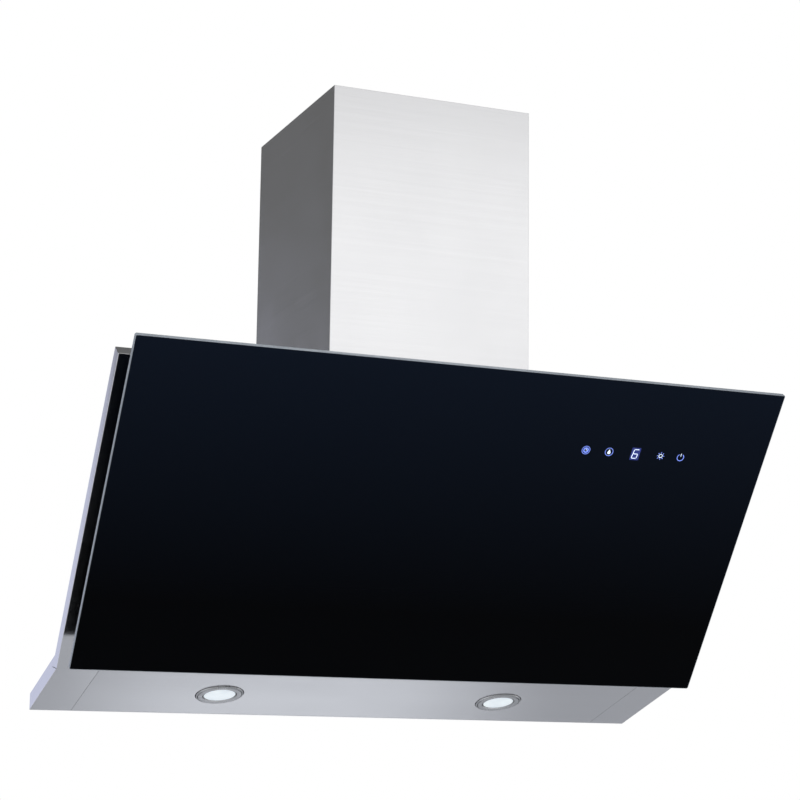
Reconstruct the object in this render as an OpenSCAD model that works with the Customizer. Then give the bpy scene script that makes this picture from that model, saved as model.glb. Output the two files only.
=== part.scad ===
// Wall-mounted range hood with an inclined glass front and a telescopic chimney.
// X is to the right, Y runs back to the wall, Z is up; the wall is the plane Y = 0.
// Inside the modules heights are counted from the hood's lowest edge; on_wall() then
// moves the origin to the middle of the four wall screws.

/* [Body] */
// Width of the steel body
body_w = 900; // [880:1:920]
// Lean of the front face from vertical
tilt = 35; // [33:1:37]
// Distance from the wall to the bend between front face and lower wing
bend_out = 150; // [145:1:155]
// Height of that bend above the lowest edge
bend_up = 49; // [46:1:52]
// Length of the front face, from the bend up the slope
slab_len = 445; // [440:1:450]
// Depth of the folded edge round the front face
slab_t = 20; // [18:1:22]
// Height of the folded edge that stands against the wall
rear_flange_h = 22; // [20:1:24]
// Thickness of the steel sheet
sheet = 1; // [0.8:0.1:1.2]

/* [Glass] */
// Width of the glass panel
glass_w = 892; // [880:1:896]
// Height of the glass panel along the slope
glass_h = 463; // [460:1:466]
// Thickness of the glass
glass_t = 6; // [5:1:6]
// Distance of the glass's front from the steel front face
glass_out = 44; // [43:1:46]
// Height of the glass's lower edge above the bend, along the slope
glass_low = 27; // [25:1:29]

/* [Chimney] */
// Width of the lower chimney cover
chimney_w = 288; // [286:1:292]
// Depth of the lower chimney cover
chimney_d = 305; // [303:1:310]
// Height of the chimney's top above the lowest edge
chimney_top = 825; // [815:1:900]
// How much smaller the upper cover is, on each side
nest_gap = 1.8; // [1.8:0.1:2.5]
// Height of the upper cover
upper_h = 418; // [400:1:418]

/* [Blower] */
// Distance of the fan's axis from the wall
fan_out = 118; // [116:1:120]
// Height of the fan's axis
fan_up = 258; // [256:1:260]
// Outer radius of the fan wheel
wheel_r = 75; // [72:1:76]
// Length of each half of the fan wheel
wheel_half = 63; // [60:1:64]
// Number of blades in each half
blade_count = 28; // [20:1:36]
// Outer radius of the duct spigot
spigot_r = 74.5; // [72:0.5:74.5]

/* [Lamps and filters] */
// Distance of each lamp from the middle
lamp_x = 208; // [200:1:215]
// Outer radius of a lamp's ring
lamp_r = 32.5; // [31:0.5:34]
// Width of the panel that carries the lamps
lamp_panel_w = 788; // [780:1:792]
// Width of one grease filter
filter_w = 250; // [240:1:252]
// Height of one grease filter
filter_h = 320; // [310:1:322]

/* [Hidden] */
$fn = 48;

eps = 0.01;
steel = [0.78, 0.78, 0.79];
zinc = [0.6, 0.62, 0.64];
dark = [0.16, 0.16, 0.17];
fix_up = 240;        // height of the wall screws' middle above the lowest edge
fix_dx = 480;        // spacing of the wall screws across
fix_dz = 260;        // spacing of the wall screws up
wing_angle = atan(bend_up / bend_out);
wing_len = norm([bend_up, bend_out]);
wing_band = rear_flange_h * cos(wing_angle);
glass_top = glass_low + glass_h;

// Hinge of the glass panel, in the sloped frame
hinge_y = -15;
hinge_z = 436;
hinge_x = 305;
hinge_pin_r = 4;
running = 0.05;      // radial clearance of a running fit

// Frame bonded to the glass
frame_w = 800;
frame_low = 60;
frame_high = 449;
frame_t = 12;
rail = 25;

// Filters, in the sloped frame
filter_low = 55;
filter_t = 9;
filter_gap = 24;
filter_x = (filter_w + filter_gap) / 2;
latch_rail = 30;

// Motor box
box_w = 560;
box_top = 400;
box_back_low = 70;
box_front_low = 40;
box_flange = 12;

// Duct
duct_y = -152.5;
collar_h = 50;

// Lamps, in the wing's frame
lamp_y = 78;
window_lip = 3;

// Scroll of the blower, round the fan's axis
scroll_half = 70;
scroll_wall = 2;
scroll_first = 60;
scroll_last = -180;
scroll_r0 = 81;
scroll_r1 = 107;
outlet_up = box_top - sheet - fan_up;

// Control box
ctrl_x = -210;
ctrl_z = 220;
ctrl_w = 110;
ctrl_h = 170;
ctrl_d = 50;

// Touch controls
touch_x = 253;
touch_z = glass_top - 107;
touch_w = 186;
touch_h = 40;

upper_top = chimney_top - 1;
upper_low = upper_top - upper_h;

// ---------- frames of reference and shared shapes ----------

module on_wall() {
    translate([0, 0, -fix_up]) children();
}

// X right, Y back through the front face, Z up its slope, from the bend
module sloped() {
    on_wall() translate([0, -bend_out, bend_up]) rotate([tilt, 0, 0]) children();
}

// X right, Y along the lower wing to the wall, Z up through it, from the bend
module on_wing() {
    on_wall() translate([0, -bend_out, bend_up]) rotate([-wing_angle, 0, 0]) children();
}

// Z runs along the fan's axis, to the right
module at_fan() {
    on_wall() translate([0, -fan_out, fan_up]) rotate([0, 90, 0]) children();
}

// A point v up the slope and n behind the front face, as [y, z]
function on_slope(v, n) = [
    -bend_out - v * sin(tilt) + n * cos(tilt),
    bend_up + v * cos(tilt) + n * sin(tilt)
];

// Where the plane n behind the front face meets the plane h above the wing
function kink_v(n, h) = (h / cos(wing_angle) - n * (sin(tilt) + tan(wing_angle) * cos(tilt)))
    / (cos(tilt) - tan(wing_angle) * sin(tilt));
function kink(n, h) = on_slope(kink_v(n, h), n);

// Extrudes a [y, z] outline from x0 to x1
module across(x0, x1) {
    translate([x0, 0, 0]) rotate([90, 0, 90]) linear_extrude(x1 - x0) children();
}

// A box from its low and high corners
module block(low, high) {
    translate(low) cube(high - low);
}

module tube(outer, inner, z0, z1) {
    translate([0, 0, z0]) difference() {
        cylinder(r = outer, h = z1 - z0);
        translate([0, 0, -1]) cylinder(r = inner, h = z1 - z0 + 2);
    }
}

// Pan-head screw with its head's underside at the origin, shank towards -Z
module pan_screw(shank_r, shank_l, head_r, head_h) {
    translate([0, 0, -shank_l]) cylinder(r = shank_r, h = shank_l + eps);
    difference() {
        cylinder(r = head_r, h = head_h);
        for (turn = [0, 90]) rotate([0, 0, turn])
            translate([-head_r * 0.55, -0.4, head_h - 1]) cube([head_r * 1.1, 0.8, 2]);
    }
}

// ---------- body ----------

filter_sides = [-1, 1];
flange_screw_spots = [for (x = [-286, 286]) for (v = [90, 195, 295, 395]) [x, v]];

module body_shell() {
    outline = [on_slope(0, 0), [0, 0], [0, rear_flange_h], kink(slab_t, wing_band),
        on_slope(slab_len, slab_t), on_slope(slab_len, 0)];
    spare = 3;
    pocket = [kink(sheet, sheet), [-sheet, sheet / cos(wing_angle) + sheet * tan(wing_angle)],
        [-sheet, rear_flange_h + spare / cos(wing_angle)],
        kink(slab_t + spare, wing_band + spare),
        on_slope(slab_len - sheet, slab_t + spare), on_slope(slab_len - sheet, sheet)];
    color(steel) union() {
        difference() {
            on_wall() difference() {
                across(-body_w / 2, body_w / 2) polygon(outline);
                across(-body_w / 2 + sheet, body_w / 2 - sheet) polygon(pocket);
            }
            sloped() for (side = filter_sides) translate([side * filter_x, 0, 0])
                block([-filter_w / 2 - 0.5, -2, filter_low - 0.5],
                    [filter_w / 2 + 0.5, sheet + 2, filter_low + filter_h + 0.5]);
            sloped() for (p = flange_screw_spots) translate([p[0], 0, p[1]])
                rotate([90, 0, 0]) cylinder(r = 2.2, h = 10, center = true);
            on_wing() block([-lamp_panel_w / 2, window_lip, -2],
                [lamp_panel_w / 2, wing_len - window_lip, sheet + 1]);
        }
        panel_ledge();
    }
}

// Strip welded behind the window in the wing, on which the lamp panel lies
module panel_ledge() {
    ledge = 14;
    lap = 12;
    on_wing() difference() {
        block([-lamp_panel_w / 2 - lap, 1.2, sheet],
            [lamp_panel_w / 2 + lap, wing_len - 1, 2 * sheet]);
        block([-lamp_panel_w / 2 + ledge, ledge, 0],
            [lamp_panel_w / 2 - ledge, wing_len - ledge, 3 * sheet]);
    }
}

module lamp_panel() {
    gap = 0.4;
    color(steel) on_wing() difference() {
        block([-lamp_panel_w / 2 + gap, window_lip + gap, 0],
            [lamp_panel_w / 2 - gap, wing_len - window_lip - gap, sheet]);
        for (side = [-1, 1]) translate([side * lamp_x, lamp_y, -1]) cylinder(r = 28, h = 4);
    }
}

// Spring clips that press the lamp panel onto its ledge
module panel_clips() {
    color(zinc) on_wing() for (side = [-1, 1]) for (y = [45, 115]) {
        translate([side * (lamp_panel_w / 2 - 22), y, 0]) {
            block([-7, -8, sheet], [7, 8, sheet + 0.8]);
            block([-7, -8, sheet], [-6.2, 8, 9]);
            translate([0, 0, 8.2]) block([-7, -8, 0], [9, 8, 0.8]);
        }
    }
}

// ---------- motor box ----------

// Corner of the box's front rim: v up the slope at which the height is z
function rim_v(z, n) = (z - bend_up - n * sin(tilt)) / cos(tilt);

box_screw_spots = [for (x = [-80, 80]) for (y = [-232, -73]) [x, y]];
foot_screw_spots = [for (x = [-137, 137]) for (y = [-240, -60]) [x, y]];
collar_screw_spots = [for (a = [45:90:315]) [82 * cos(a), duct_y + 82 * sin(a)]];
gland_spot = [-112, -35];

box_n = sheet;
box_top_v = rim_v(box_top, box_n);
box_low_spot = on_slope(box_front_low, box_n);
box_low_angle = atan2(box_low_spot[1] - box_back_low, -box_low_spot[0]);
box_low_back = [-sheet, box_back_low + sheet * tan(box_low_angle)];
floor_rise = sheet / cos(box_low_angle);

// Strip of the rim that is screwed to the back of the front face
module box_rim(x0, x1, v0, v1) {
    sloped() block([x0, box_n, v0], [x1, box_n + sheet, v1]);
}

module motor_box_back() {
    color(zinc) difference() {
        on_wall() block([-box_w / 2, -sheet, box_back_low], [box_w / 2, 0, box_top]);
        for (x = [-fix_dx / 2, fix_dx / 2]) for (z = [-fix_dz / 2, fix_dz / 2])
            translate([x, 0, z]) rotate([90, 0, 0]) cylinder(r = 4, h = 10, center = true);
    }
}

module motor_box_top() {
    half = box_w / 2 - sheet;
    color(zinc) difference() {
        union() {
            on_wall() across(-half, half) polygon([[-sheet, box_top], [-sheet, box_top - sheet],
                on_slope(rim_v(box_top - sheet, box_n), box_n), on_slope(box_top_v, box_n)]);
            box_rim(-half, half, box_top_v - 2, box_top_v + box_flange);
        }
        on_wall() {
            translate([0, duct_y, box_top - 5]) cylinder(r = spigot_r - 0.5, h = 10);
            for (p = concat(box_screw_spots, foot_screw_spots, collar_screw_spots))
                translate([p[0], p[1], box_top - 5]) cylinder(r = 2.2, h = 10);
            translate([gland_spot[0], gland_spot[1], box_top - 5]) cylinder(r = 8.2, h = 10);
        }
    }
}

module motor_box_floor() {
    half = box_w / 2 - sheet;
    front_v = box_front_low + floor_rise / (cos(tilt) - sin(tilt) * tan(box_low_angle));
    color(zinc) {
        on_wall() across(-half, half) polygon([box_low_spot, box_low_back,
            box_low_back + [0, floor_rise], on_slope(front_v, box_n)]);
        box_rim(-half, half, box_front_low - box_flange, box_front_low + 2.5);
    }
}

module motor_box_side(side) {
    inner = box_w / 2 - sheet;
    color(zinc) mirror([side > 0 ? 0 : 1, 0, 0]) difference() {
        union() {
            on_wall() across(inner, box_w / 2) polygon([box_low_spot, box_low_back,
                [-sheet, box_top], on_slope(box_top_v, box_n)]);
            box_rim(inner, box_w / 2 + box_flange, box_front_low - box_flange,
                box_top_v + box_flange);
        }
        sloped() for (p = flange_screw_spots) translate([p[0], 0, p[1]])
            rotate([90, 0, 0]) cylinder(r = 2.2, h = 20, center = true);
    }
}

module motor_box_side_left() { motor_box_side(-1); }
module motor_box_side_right() { motor_box_side(1); }

// ---------- grease filters ----------

module filter_seat() {
    room = 0.5;
    depth = filter_t + room;
    half = filter_x + filter_w / 2 + room;
    lip = 6;
    color(zinc) sloped() difference() {
        block([-half - sheet, sheet, filter_low - room - sheet],
            [half + sheet, depth + sheet, filter_low + filter_h + room + sheet]);
        for (side = filter_sides) translate([side * filter_x, 0, 0]) {
            block([-filter_w / 2 - room, 0, filter_low - room],
                [filter_w / 2 + room, depth, filter_low + filter_h + room]);
            block([-filter_w / 2 + lip, 0, filter_low + lip],
                [filter_w / 2 - lip, depth + 3, filter_low + filter_h - lip]);
            block([-7, 2, filter_low - 3], [7, 6, filter_low + 1]);
        }
        block([-filter_gap / 2 + room + sheet, 2 * sheet, filter_low],
            [filter_gap / 2 - room - sheet, depth + 3, filter_low + filter_h]);
    }
}

filter_rim = 12;
module at_filter(side) {
    sloped() translate([side * filter_x, 0, filter_low]) children();
}

module filter_frame(side) {
    groove = 3;
    color([0.75, 0.76, 0.77]) at_filter(side) difference() {
        block([-filter_w / 2, 0, 0], [filter_w / 2, filter_t, filter_h]);
        block([-filter_w / 2 + filter_rim, -1, latch_rail],
            [filter_w / 2 - filter_rim, filter_t + 1, filter_h - filter_rim]);
        block([-filter_w / 2 + filter_rim - groove, 2, latch_rail - groove],
            [filter_w / 2 - filter_rim + groove, filter_t - 2, filter_h - filter_rim + groove]);
        block([-26, -1, 5], [26, 7, 25]);
        block([-5.5, 2.5, -1], [5.5, 5.5, 6]);
    }
}

// Layered aluminium mesh inside the two frames
module filter_meshes() {
    inset = filter_rim - 2.6;
    color([0.66, 0.67, 0.68]) for (side = filter_sides) at_filter(side)
        block([-filter_w / 2 + inset, 2.2, latch_rail - 2.6],
            [filter_w / 2 - inset, filter_t - 2.2, filter_h - inset]);
}

// Sliding latch with a finger lip and a tongue that drops behind the front face
module filter_latch(side) {
    color(dark) at_filter(side) {
        block([-25, 2, 6], [25, 6.5, 16]);
        block([-18, -3, 12.5], [18, 2.5, 16]);
        block([-5, 3, -4], [5, 5, 7]);
    }
}

module filter_frame_left() { filter_frame(-1); }
module filter_frame_right() { filter_frame(1); }
module filter_latch_left() { filter_latch(-1); }
module filter_latch_right() { filter_latch(1); }

// ---------- blower ----------

function scroll_r(a) = scroll_r0
    + (scroll_r1 - scroll_r0) * (scroll_first - a) / (scroll_first - scroll_last);

// Spiral outline in [y, z] round the fan's axis, grown outwards, open at the top
module scroll_outline(grow, top) {
    tongue_y = scroll_r0 * cos(scroll_first) + grow;
    polygon(concat(
        [for (a = [scroll_first:-12:scroll_last]) (scroll_r(a) + grow) * [cos(a), sin(a)]],
        [[-scroll_r1 - grow, top], [tongue_y, top]]));
}

scroll_screw_angles = [30, -20, -70, -120, -165];
scroll_rim = 9;

// Half of the blower housing, on one side of its middle plane
module scroll_half_shell(side) {
    far = scroll_half + scroll_wall;
    module slab_of(x0, x1) {
        across(min(side * x0, side * x1), max(side * x0, side * x1)) children();
    }
    color([0.25, 0.26, 0.27]) on_wall() translate([0, -fan_out, fan_up]) difference() {
        union() {
            slab_of(0, far) scroll_outline(scroll_wall, outlet_up);
            slab_of(0, 3) scroll_outline(scroll_rim, outlet_up);
            translate([side * 42, 0, outlet_up - 1.5])
                cube([84, 0, 3] + [0, 2 * (scroll_r1 + 12), 0], center = true);
            translate([side * (far - eps), 0, 0]) rotate([0, side * 90, 0])
                tube(wheel_r - 9.5, wheel_r - 11, 0, 5);
        }
        slab_of(-1, scroll_half) scroll_outline(0, outlet_up + 5);
        translate([side * far, 0, 0]) rotate([0, 90, 0])
            cylinder(r = wheel_r - 11, h = 20, center = true);
        translate([0, 54, outlet_up - 8]) block([-100, 0, 0], [100, 80, 12]);
        for (a = scroll_screw_angles)
            translate([0, (scroll_r(a) + 5.5) * cos(a), (scroll_r(a) + 5.5) * sin(a)])
                rotate([0, 90, 0]) cylinder(r = 1.7, h = 12, center = true);
        translate([0, fan_out, 0]) for (p = box_screw_spots)
            translate([p[0], p[1], outlet_up - 10]) cylinder(r = 2.2, h = 20);
        if (side > 0) rotate([0, 90, 0]) for (a = arm_angles) rotate([0, 0, a])
            translate([arm_r, 0, far - 6]) cylinder(r = 1.7, h = 12);
    }
}

module scroll_left() { scroll_half_shell(-1); }
module scroll_right() { scroll_half_shell(1); }

module impeller() {
    blade_in = 60;
    blade_lean = 24;
    color([0.2, 0.21, 0.22]) at_fan() {
        tube(wheel_r - 1, hub_r - 1, -1, 1);
        tube(hub_r, shaft_r, -12, 11);
        for (side = [-1, 1]) {
            z0 = side > 0 ? wheel_half - 2 : -wheel_half;
            tube(wheel_r, blade_in, z0, z0 + 2);
            for (i = [0:blade_count - 1]) rotate([0, 0, i * 360 / blade_count])
                translate([blade_in + 1.5, 0, side > 0 ? 0 : -wheel_half + 1])
                    rotate([0, 0, blade_lean]) cube([12.5, 1, wheel_half - 1]);
        }
    }
}

// Motor, along the fan's axis
hub_r = 10;
shaft_r = 4;
rotor_r = 22;
stator_r = 42;
motor_z0 = 14;
motor_z1 = 76;
motor_mid = 45;
bearing_r = 9;
bearing_w = 6;

module motor_shaft() {
    color([0.7, 0.7, 0.72]) at_fan() translate([0, 0, -13]) cylinder(r = shaft_r, h = 92);
}

module rotor() {
    color([0.45, 0.46, 0.48]) at_fan() tube(rotor_r, shaft_r, 30, 60);
}

module stator() {
    color([0.55, 0.3, 0.15]) at_fan() {
        tube(stator_r, rotor_r + 0.6, 33, 57);
        tube(stator_r - 4, rotor_r + 4, 27, 33 + eps);
        tube(stator_r - 4, rotor_r + 4, 57 - eps, 63);
    }
}

module motor_bearings() {
    color([0.7, 0.7, 0.72]) at_fan() {
        for (z = [motor_z0 + 2, motor_z1 - 2 - bearing_w])
            tube(bearing_r, shaft_r + running, z, z + bearing_w);
    }
}

// One cup of the motor's case, from its end wall at z0 towards z1
module motor_cup(z0, z1, seat) {
    wall = 1.5;
    end = z0 < z1 ? z0 : z0 - 2;
    low = min(z0, z1);
    tube(stator_r + wall, stator_r, low, max(z0, z1));
    difference() {
        tube(stator_r + wall, shaft_r + 2, end, end + 2);
        for (a = [0:45:315]) rotate([0, 0, a]) translate([26, 0, end - 1])
            cylinder(r = 5, h = 4);
    }
    tube(bearing_r + 2, bearing_r, seat, seat + bearing_w);
}

module motor_shell_front() {
    color(zinc) at_fan() motor_cup(motor_z0, motor_mid, motor_z0 + 2);
}

module motor_shell_rear() {
    color(zinc) at_fan() motor_cup(motor_z1, motor_mid, motor_z1 - 2 - bearing_w);
}

arm_r = 72;
arm_angles = [90, 210, 330];
module motor_bracket() {
    color(zinc) at_fan() difference() {
        union() {
            tube(stator_r, 14, motor_z1 + 4, motor_z1 + 6);
            for (a = arm_angles) rotate([0, 0, a]) {
                block([20, -7, motor_z1 + 4], [arm_r + 7, 7, motor_z1 + 6]);
                block([28, -7, motor_z1], [34, 7, motor_z1 + 5]);
            }
        }
        for (a = arm_angles) rotate([0, 0, a]) translate([arm_r, 0, 60])
            cylinder(r = 3, h = 40);
        translate([0, 0, 60]) cylinder(r = 14, h = 40);
    }
}

module motor_grommets() {
    color(dark) at_fan() for (a = arm_angles) rotate([0, 0, a]) translate([arm_r, 0, 0]) {
        tube(6, 1.6, scroll_half + scroll_wall, motor_z1 + 4);
        tube(3 - running, 1.6, motor_z1 + 4 - eps, motor_z1 + 6);
        tube(6, 1.6, motor_z1 + 6 - eps, motor_z1 + 8);
    }
}

// ---------- electrics ----------

module capacitor() {
    color([0.85, 0.86, 0.87]) on_wall() translate([190, -24, 150]) {
        cylinder(r = 18, h = 70);
        translate([0, 0, 70]) cylinder(r = 16, h = 4);
        for (x = [-5, 5]) translate([x, 0, 73]) cylinder(r = 1.5, h = 8);
        difference() {
            block([-21, -2, 20], [21, 24 - sheet, 34]);
            translate([0, 0, 19]) cylinder(r = 18, h = 20);
        }
    }
}

module in_control_box() {
    on_wall() translate([ctrl_x, 0, ctrl_z]) children();
}

module control_box() {
    wall = 2;
    color(dark) in_control_box() difference() {
        block([-ctrl_w / 2, -ctrl_d, -ctrl_h / 2], [ctrl_w / 2, -sheet, ctrl_h / 2]);
        block([-ctrl_w / 2 + wall, -ctrl_d - 1, -ctrl_h / 2 + wall],
            [ctrl_w / 2 - wall, -sheet - wall, ctrl_h / 2 - wall]);
        for (z = [-50, 0, 50]) translate([ctrl_w / 2, -30, z]) rotate([0, 90, 0])
            cylinder(r = 4, h = 10, center = true);
    }
}

module control_lid() {
    color([0.2, 0.2, 0.21]) in_control_box() {
        block([-ctrl_w / 2, -ctrl_d - 2, -ctrl_h / 2], [ctrl_w / 2, -ctrl_d, ctrl_h / 2]);
        for (z = [-60:12:60]) block([-40, -ctrl_d - 3, z], [40, -ctrl_d - 2 + eps, z + 2]);
    }
}

module main_board() {
    color([0.1, 0.35, 0.2]) in_control_box() {
        block([-48, -12, -78], [48, -10.4, 40]);
        for (x = [-44, 44]) for (z = [-74, 36]) translate([x, -3, z]) rotate([90, 0, 0])
            cylinder(r = 2.5, h = 7.4);
        for (i = [0:3]) block([-40 + 18 * i, -26, -60], [-27 + 18 * i, -12 + eps, -40]);
        for (i = [0:2]) translate([-30 + 24 * i, -12, 0]) rotate([90, 0, 0])
            cylinder(r = 5 + i, h = 14);
        block([20, -30, -30], [44, -12 + eps, -6]);
    }
}

module terminal_block() {
    color([0.92, 0.92, 0.9]) in_control_box() difference() {
        block([-30, -22, 52], [30, -3, 74]);
        for (i = [0:4]) translate([-24 + 12 * i, 0, 0]) {
            translate([0, -14, 63]) cylinder(r = 2.6, h = 30, center = true);
            translate([0, -14, 63]) rotate([90, 0, 0]) cylinder(r = 2.4, h = 20);
        }
    }
}

// Constant-current supply of the lamps
module lamp_driver() {
    color([0.88, 0.88, 0.86]) on_wall() translate([190, 0, 300]) {
        block([-40, -32, -22], [40, -sheet - 2, 22]);
        for (x = [-48, 40]) block([x, -3, -12], [x + 8, -sheet, 12]);
        block([-40, -3, -22], [40, -sheet, 22]);
    }
}

module cable_gland() {
    color(dark) on_wall() translate([gland_spot[0], gland_spot[1], 0]) {
        difference() {
            union() {
                translate([0, 0, box_top - 14]) cylinder(r = 8, h = 16);
                translate([0, 0, box_top]) cylinder(r = 12, h = 6, $fn = 6);
                translate([0, 0, box_top + 6 - eps]) cylinder(r = 9.5, h = 12);
                translate([0, 0, box_top - sheet - 5]) cylinder(r = 12, h = 5, $fn = 6);
            }
            translate([0, 0, box_top - 20]) cylinder(r = 5, h = 50);
        }
    }
}

// An eight-sided lead along straight runs that lap at the corners
module lead(points, r) {
    for (i = [0:len(points) - 2]) {
        step = points[i + 1] - points[i];
        translate(points[i]) rotate([0, acos(step[2] / norm(step)), atan2(step[1], step[0])])
            translate([0, 0, -r]) cylinder(r = r, h = norm(step) + 2 * r, $fn = 8);
    }
}

// Leads clipped along the box: to the motor, the capacitor and the lamp supply
module wiring() {
    exit_x = ctrl_x + ctrl_w / 2;
    color([0.12, 0.12, 0.13]) on_wall() {
        lead([[exit_x + 4, -30, ctrl_z - 50], [-120, -30, ctrl_z - 50], [-120, -8, 120],
            [150, -8, 120], [150, -8, 235], [150, -24, 235], [179, -24, 235]], 2.5);
        lead([[exit_x + 4, -30, ctrl_z], [-135, -30, ctrl_z], [-135, -12, 105],
            [215, -12, 105], [215, -12, 274]], 2);
        lead([[exit_x + 6, -30, ctrl_z + 50], [-130, -30, ctrl_z + 50],
            [-112, -35, box_top - 40], [-112, -35, box_top - 22]], 4);
    }
}

// ---------- duct outlet ----------

flap_gap = 5;
flap_z = box_top + 16.5;
flap_pin_r = 1.5;
ledge_z = box_top + 12;
ledge_t = 1.2;
spigot_wall = 1.2;

module at_duct() {
    on_wall() translate([0, duct_y, 0]) children();
}

module outlet_collar() {
    inside = spigot_r - spigot_wall;
    color(dark) at_duct() difference() {
        union() {
            tube(spigot_r, inside, box_top, box_top + collar_h);
            tube(spigot_r + 14, inside, box_top, box_top + 2);
            tube(inside + eps, inside - 3.5, ledge_z, ledge_z + ledge_t);
            intersection() {
                block([-inside, -flap_gap + 1, ledge_z], [inside, flap_gap - 1, ledge_z + ledge_t]);
                translate([0, 0, ledge_z - 1]) cylinder(r = inside + eps, h = 5);
            }
            for (z = [30, 40]) tube(spigot_r, inside, box_top + z, box_top + z + 1.5);
        }
        for (p = collar_screw_spots) translate([p[0], p[1] - duct_y, box_top - 1])
            cylinder(r = 2.2, h = 5);
    }
}

module flap_pins() {
    reach = spigot_r - 0.6;
    color(zinc) at_duct() for (side = [-1, 1])
        translate([-reach, side * flap_gap, flap_z]) rotate([0, 90, 0])
            cylinder(r = flap_pin_r, h = 2 * reach);
}

// Half-round non-return flap that lies on the ledge and lifts round its pin
module flap(side) {
    flap_r = spigot_r - spigot_wall - 0.9;
    plate_z = ledge_z + ledge_t + 0.1;
    color([0.3, 0.3, 0.31]) at_duct() difference() {
        union() {
            intersection() {
                translate([0, 0, plate_z]) cylinder(r = flap_r, h = 1);
                block([-flap_r, side > 0 ? flap_gap : -flap_r, plate_z],
                    [flap_r, side > 0 ? flap_r : -flap_gap, plate_z + 1]);
            }
            for (x = [-50, 50]) {
                translate([x - 8, side * flap_gap, flap_z]) rotate([0, 90, 0])
                    cylinder(r = 2.8, h = 16);
                block([x - 8, side * flap_gap - 1.2, plate_z],
                    [x + 8, side * flap_gap + 1.2, flap_z - 1]);
            }
        }
        for (x = [-50, 50]) translate([x - 10, side * flap_gap, flap_z]) rotate([0, 90, 0])
            cylinder(r = flap_pin_r + running, h = 20);
    }
}

module flap_front() { flap(-1); }
module flap_back() { flap(1); }

// ---------- chimney ----------

// U-shaped cover, open to the wall, with folded edges along the back
module cover(half_w, front, back, z0, z1, fold) {
    difference() {
        block([-half_w, front, z0], [half_w, back, z1]);
        block([-half_w + sheet, front + sheet, z0 - 1], [half_w - sheet, back - sheet, z1 + 1]);
        block([-half_w + fold, back - 2 * sheet, z0 - 1], [half_w - fold, back + 1, z1 + 1]);
    }
}

module lower_chimney() {
    foot = 13;
    color(steel) on_wall() difference() {
        union() {
            cover(chimney_w / 2, -chimney_d, 0, box_top, chimney_top, 12);
            for (side = [-1, 1])
                block([side > 0 ? chimney_w / 2 - foot : -chimney_w / 2, -chimney_d, box_top],
                    [side > 0 ? chimney_w / 2 : -chimney_w / 2 + foot, -20, box_top + sheet]);
            block([-chimney_w / 2, -chimney_d, box_top],
                [chimney_w / 2, -chimney_d + foot, box_top + sheet]);
        }
        for (p = foot_screw_spots) translate([p[0], p[1], box_top - 1]) cylinder(r = 2.2, h = 4);
    }
}

// Plastic strips that keep the upper cover from scratching
module chimney_guides() {
    t = nest_gap - 0.3 - (sheet - 1);
    inner = chimney_w / 2 - sheet;
    low = chimney_top - 125;
    high = chimney_top - 10;
    color([0.9, 0.9, 0.88]) on_wall() {
        for (side = [-1, 1]) for (y = [-260, -80])
            block([side > 0 ? inner - t : -inner, y, low],
                [side > 0 ? inner : -inner + t, y + 30, high]);
        for (x = [-110, 80])
            block([x, -chimney_d + sheet, low], [x + 30, -chimney_d + sheet + t, high]);
    }
}

upper_half = chimney_w / 2 - sheet - nest_gap;
upper_front = -chimney_d + sheet + nest_gap;
upper_back = -sheet - 0.4;
bracket_z = chimney_top - 55;
bracket_screw_spots = [for (z = [8, 22]) for (side = [-1, 1]) [side, z]];

module upper_chimney() {
    color(steel) on_wall() difference() {
        cover(upper_half, upper_front, upper_back, upper_low, upper_top, 12);
        for (p = bracket_screw_spots) translate([p[0] * upper_half, -50, bracket_z + p[1]])
            rotate([0, 90, 0]) cylinder(r = 3, h = 6, center = true);
    }
}

// Folded bracket that holds the upper cover to the wall
module upper_bracket() {
    plate = 1.2;
    reach = 127;
    inner = upper_half - sheet;
    color(zinc) on_wall() translate([0, 0, bracket_z]) difference() {
        union() {
            block([-reach, -plate, 0], [reach, 0, 30]);
            for (side = [-1, 1]) mirror([side > 0 ? 0 : 1, 0, 0]) {
                block([reach - plate, -40, 0], [reach, 0, 30]);
                block([reach - plate, -40, 0], [inner, -40 + plate, 30]);
                block([inner - plate, -62, 0], [inner, -40 + plate, 30]);
            }
        }
        for (x = [-90, 90]) translate([x, 0, 15]) rotate([90, 0, 0])
            cylinder(r = 3.5, h = 10, center = true);
        for (p = bracket_screw_spots) translate([p[0] * inner, -50, p[1]])
            rotate([0, 90, 0]) cylinder(r = 1.5, h = 8, center = true);
    }
}

// Flush screws through the upper cover into its bracket
module bracket_screws() {
    color(zinc) on_wall() for (p = bracket_screw_spots)
        translate([p[0] * upper_half, -50, bracket_z + p[1]]) rotate([0, -p[0] * 90, 0])
            difference() {
                union() {
                    cylinder(r = 2.95, h = 1);
                    cylinder(r = 1.45, h = 6);
                }
                translate([-2, -0.4, -1]) cube([4, 0.8, 1.5]);
            }
}

// ---------- fasteners ----------

hinge_screw_spots = [for (side = [-1, 1]) for (x = [-12, 12]) [side * hinge_x + x, 414]];

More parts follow.
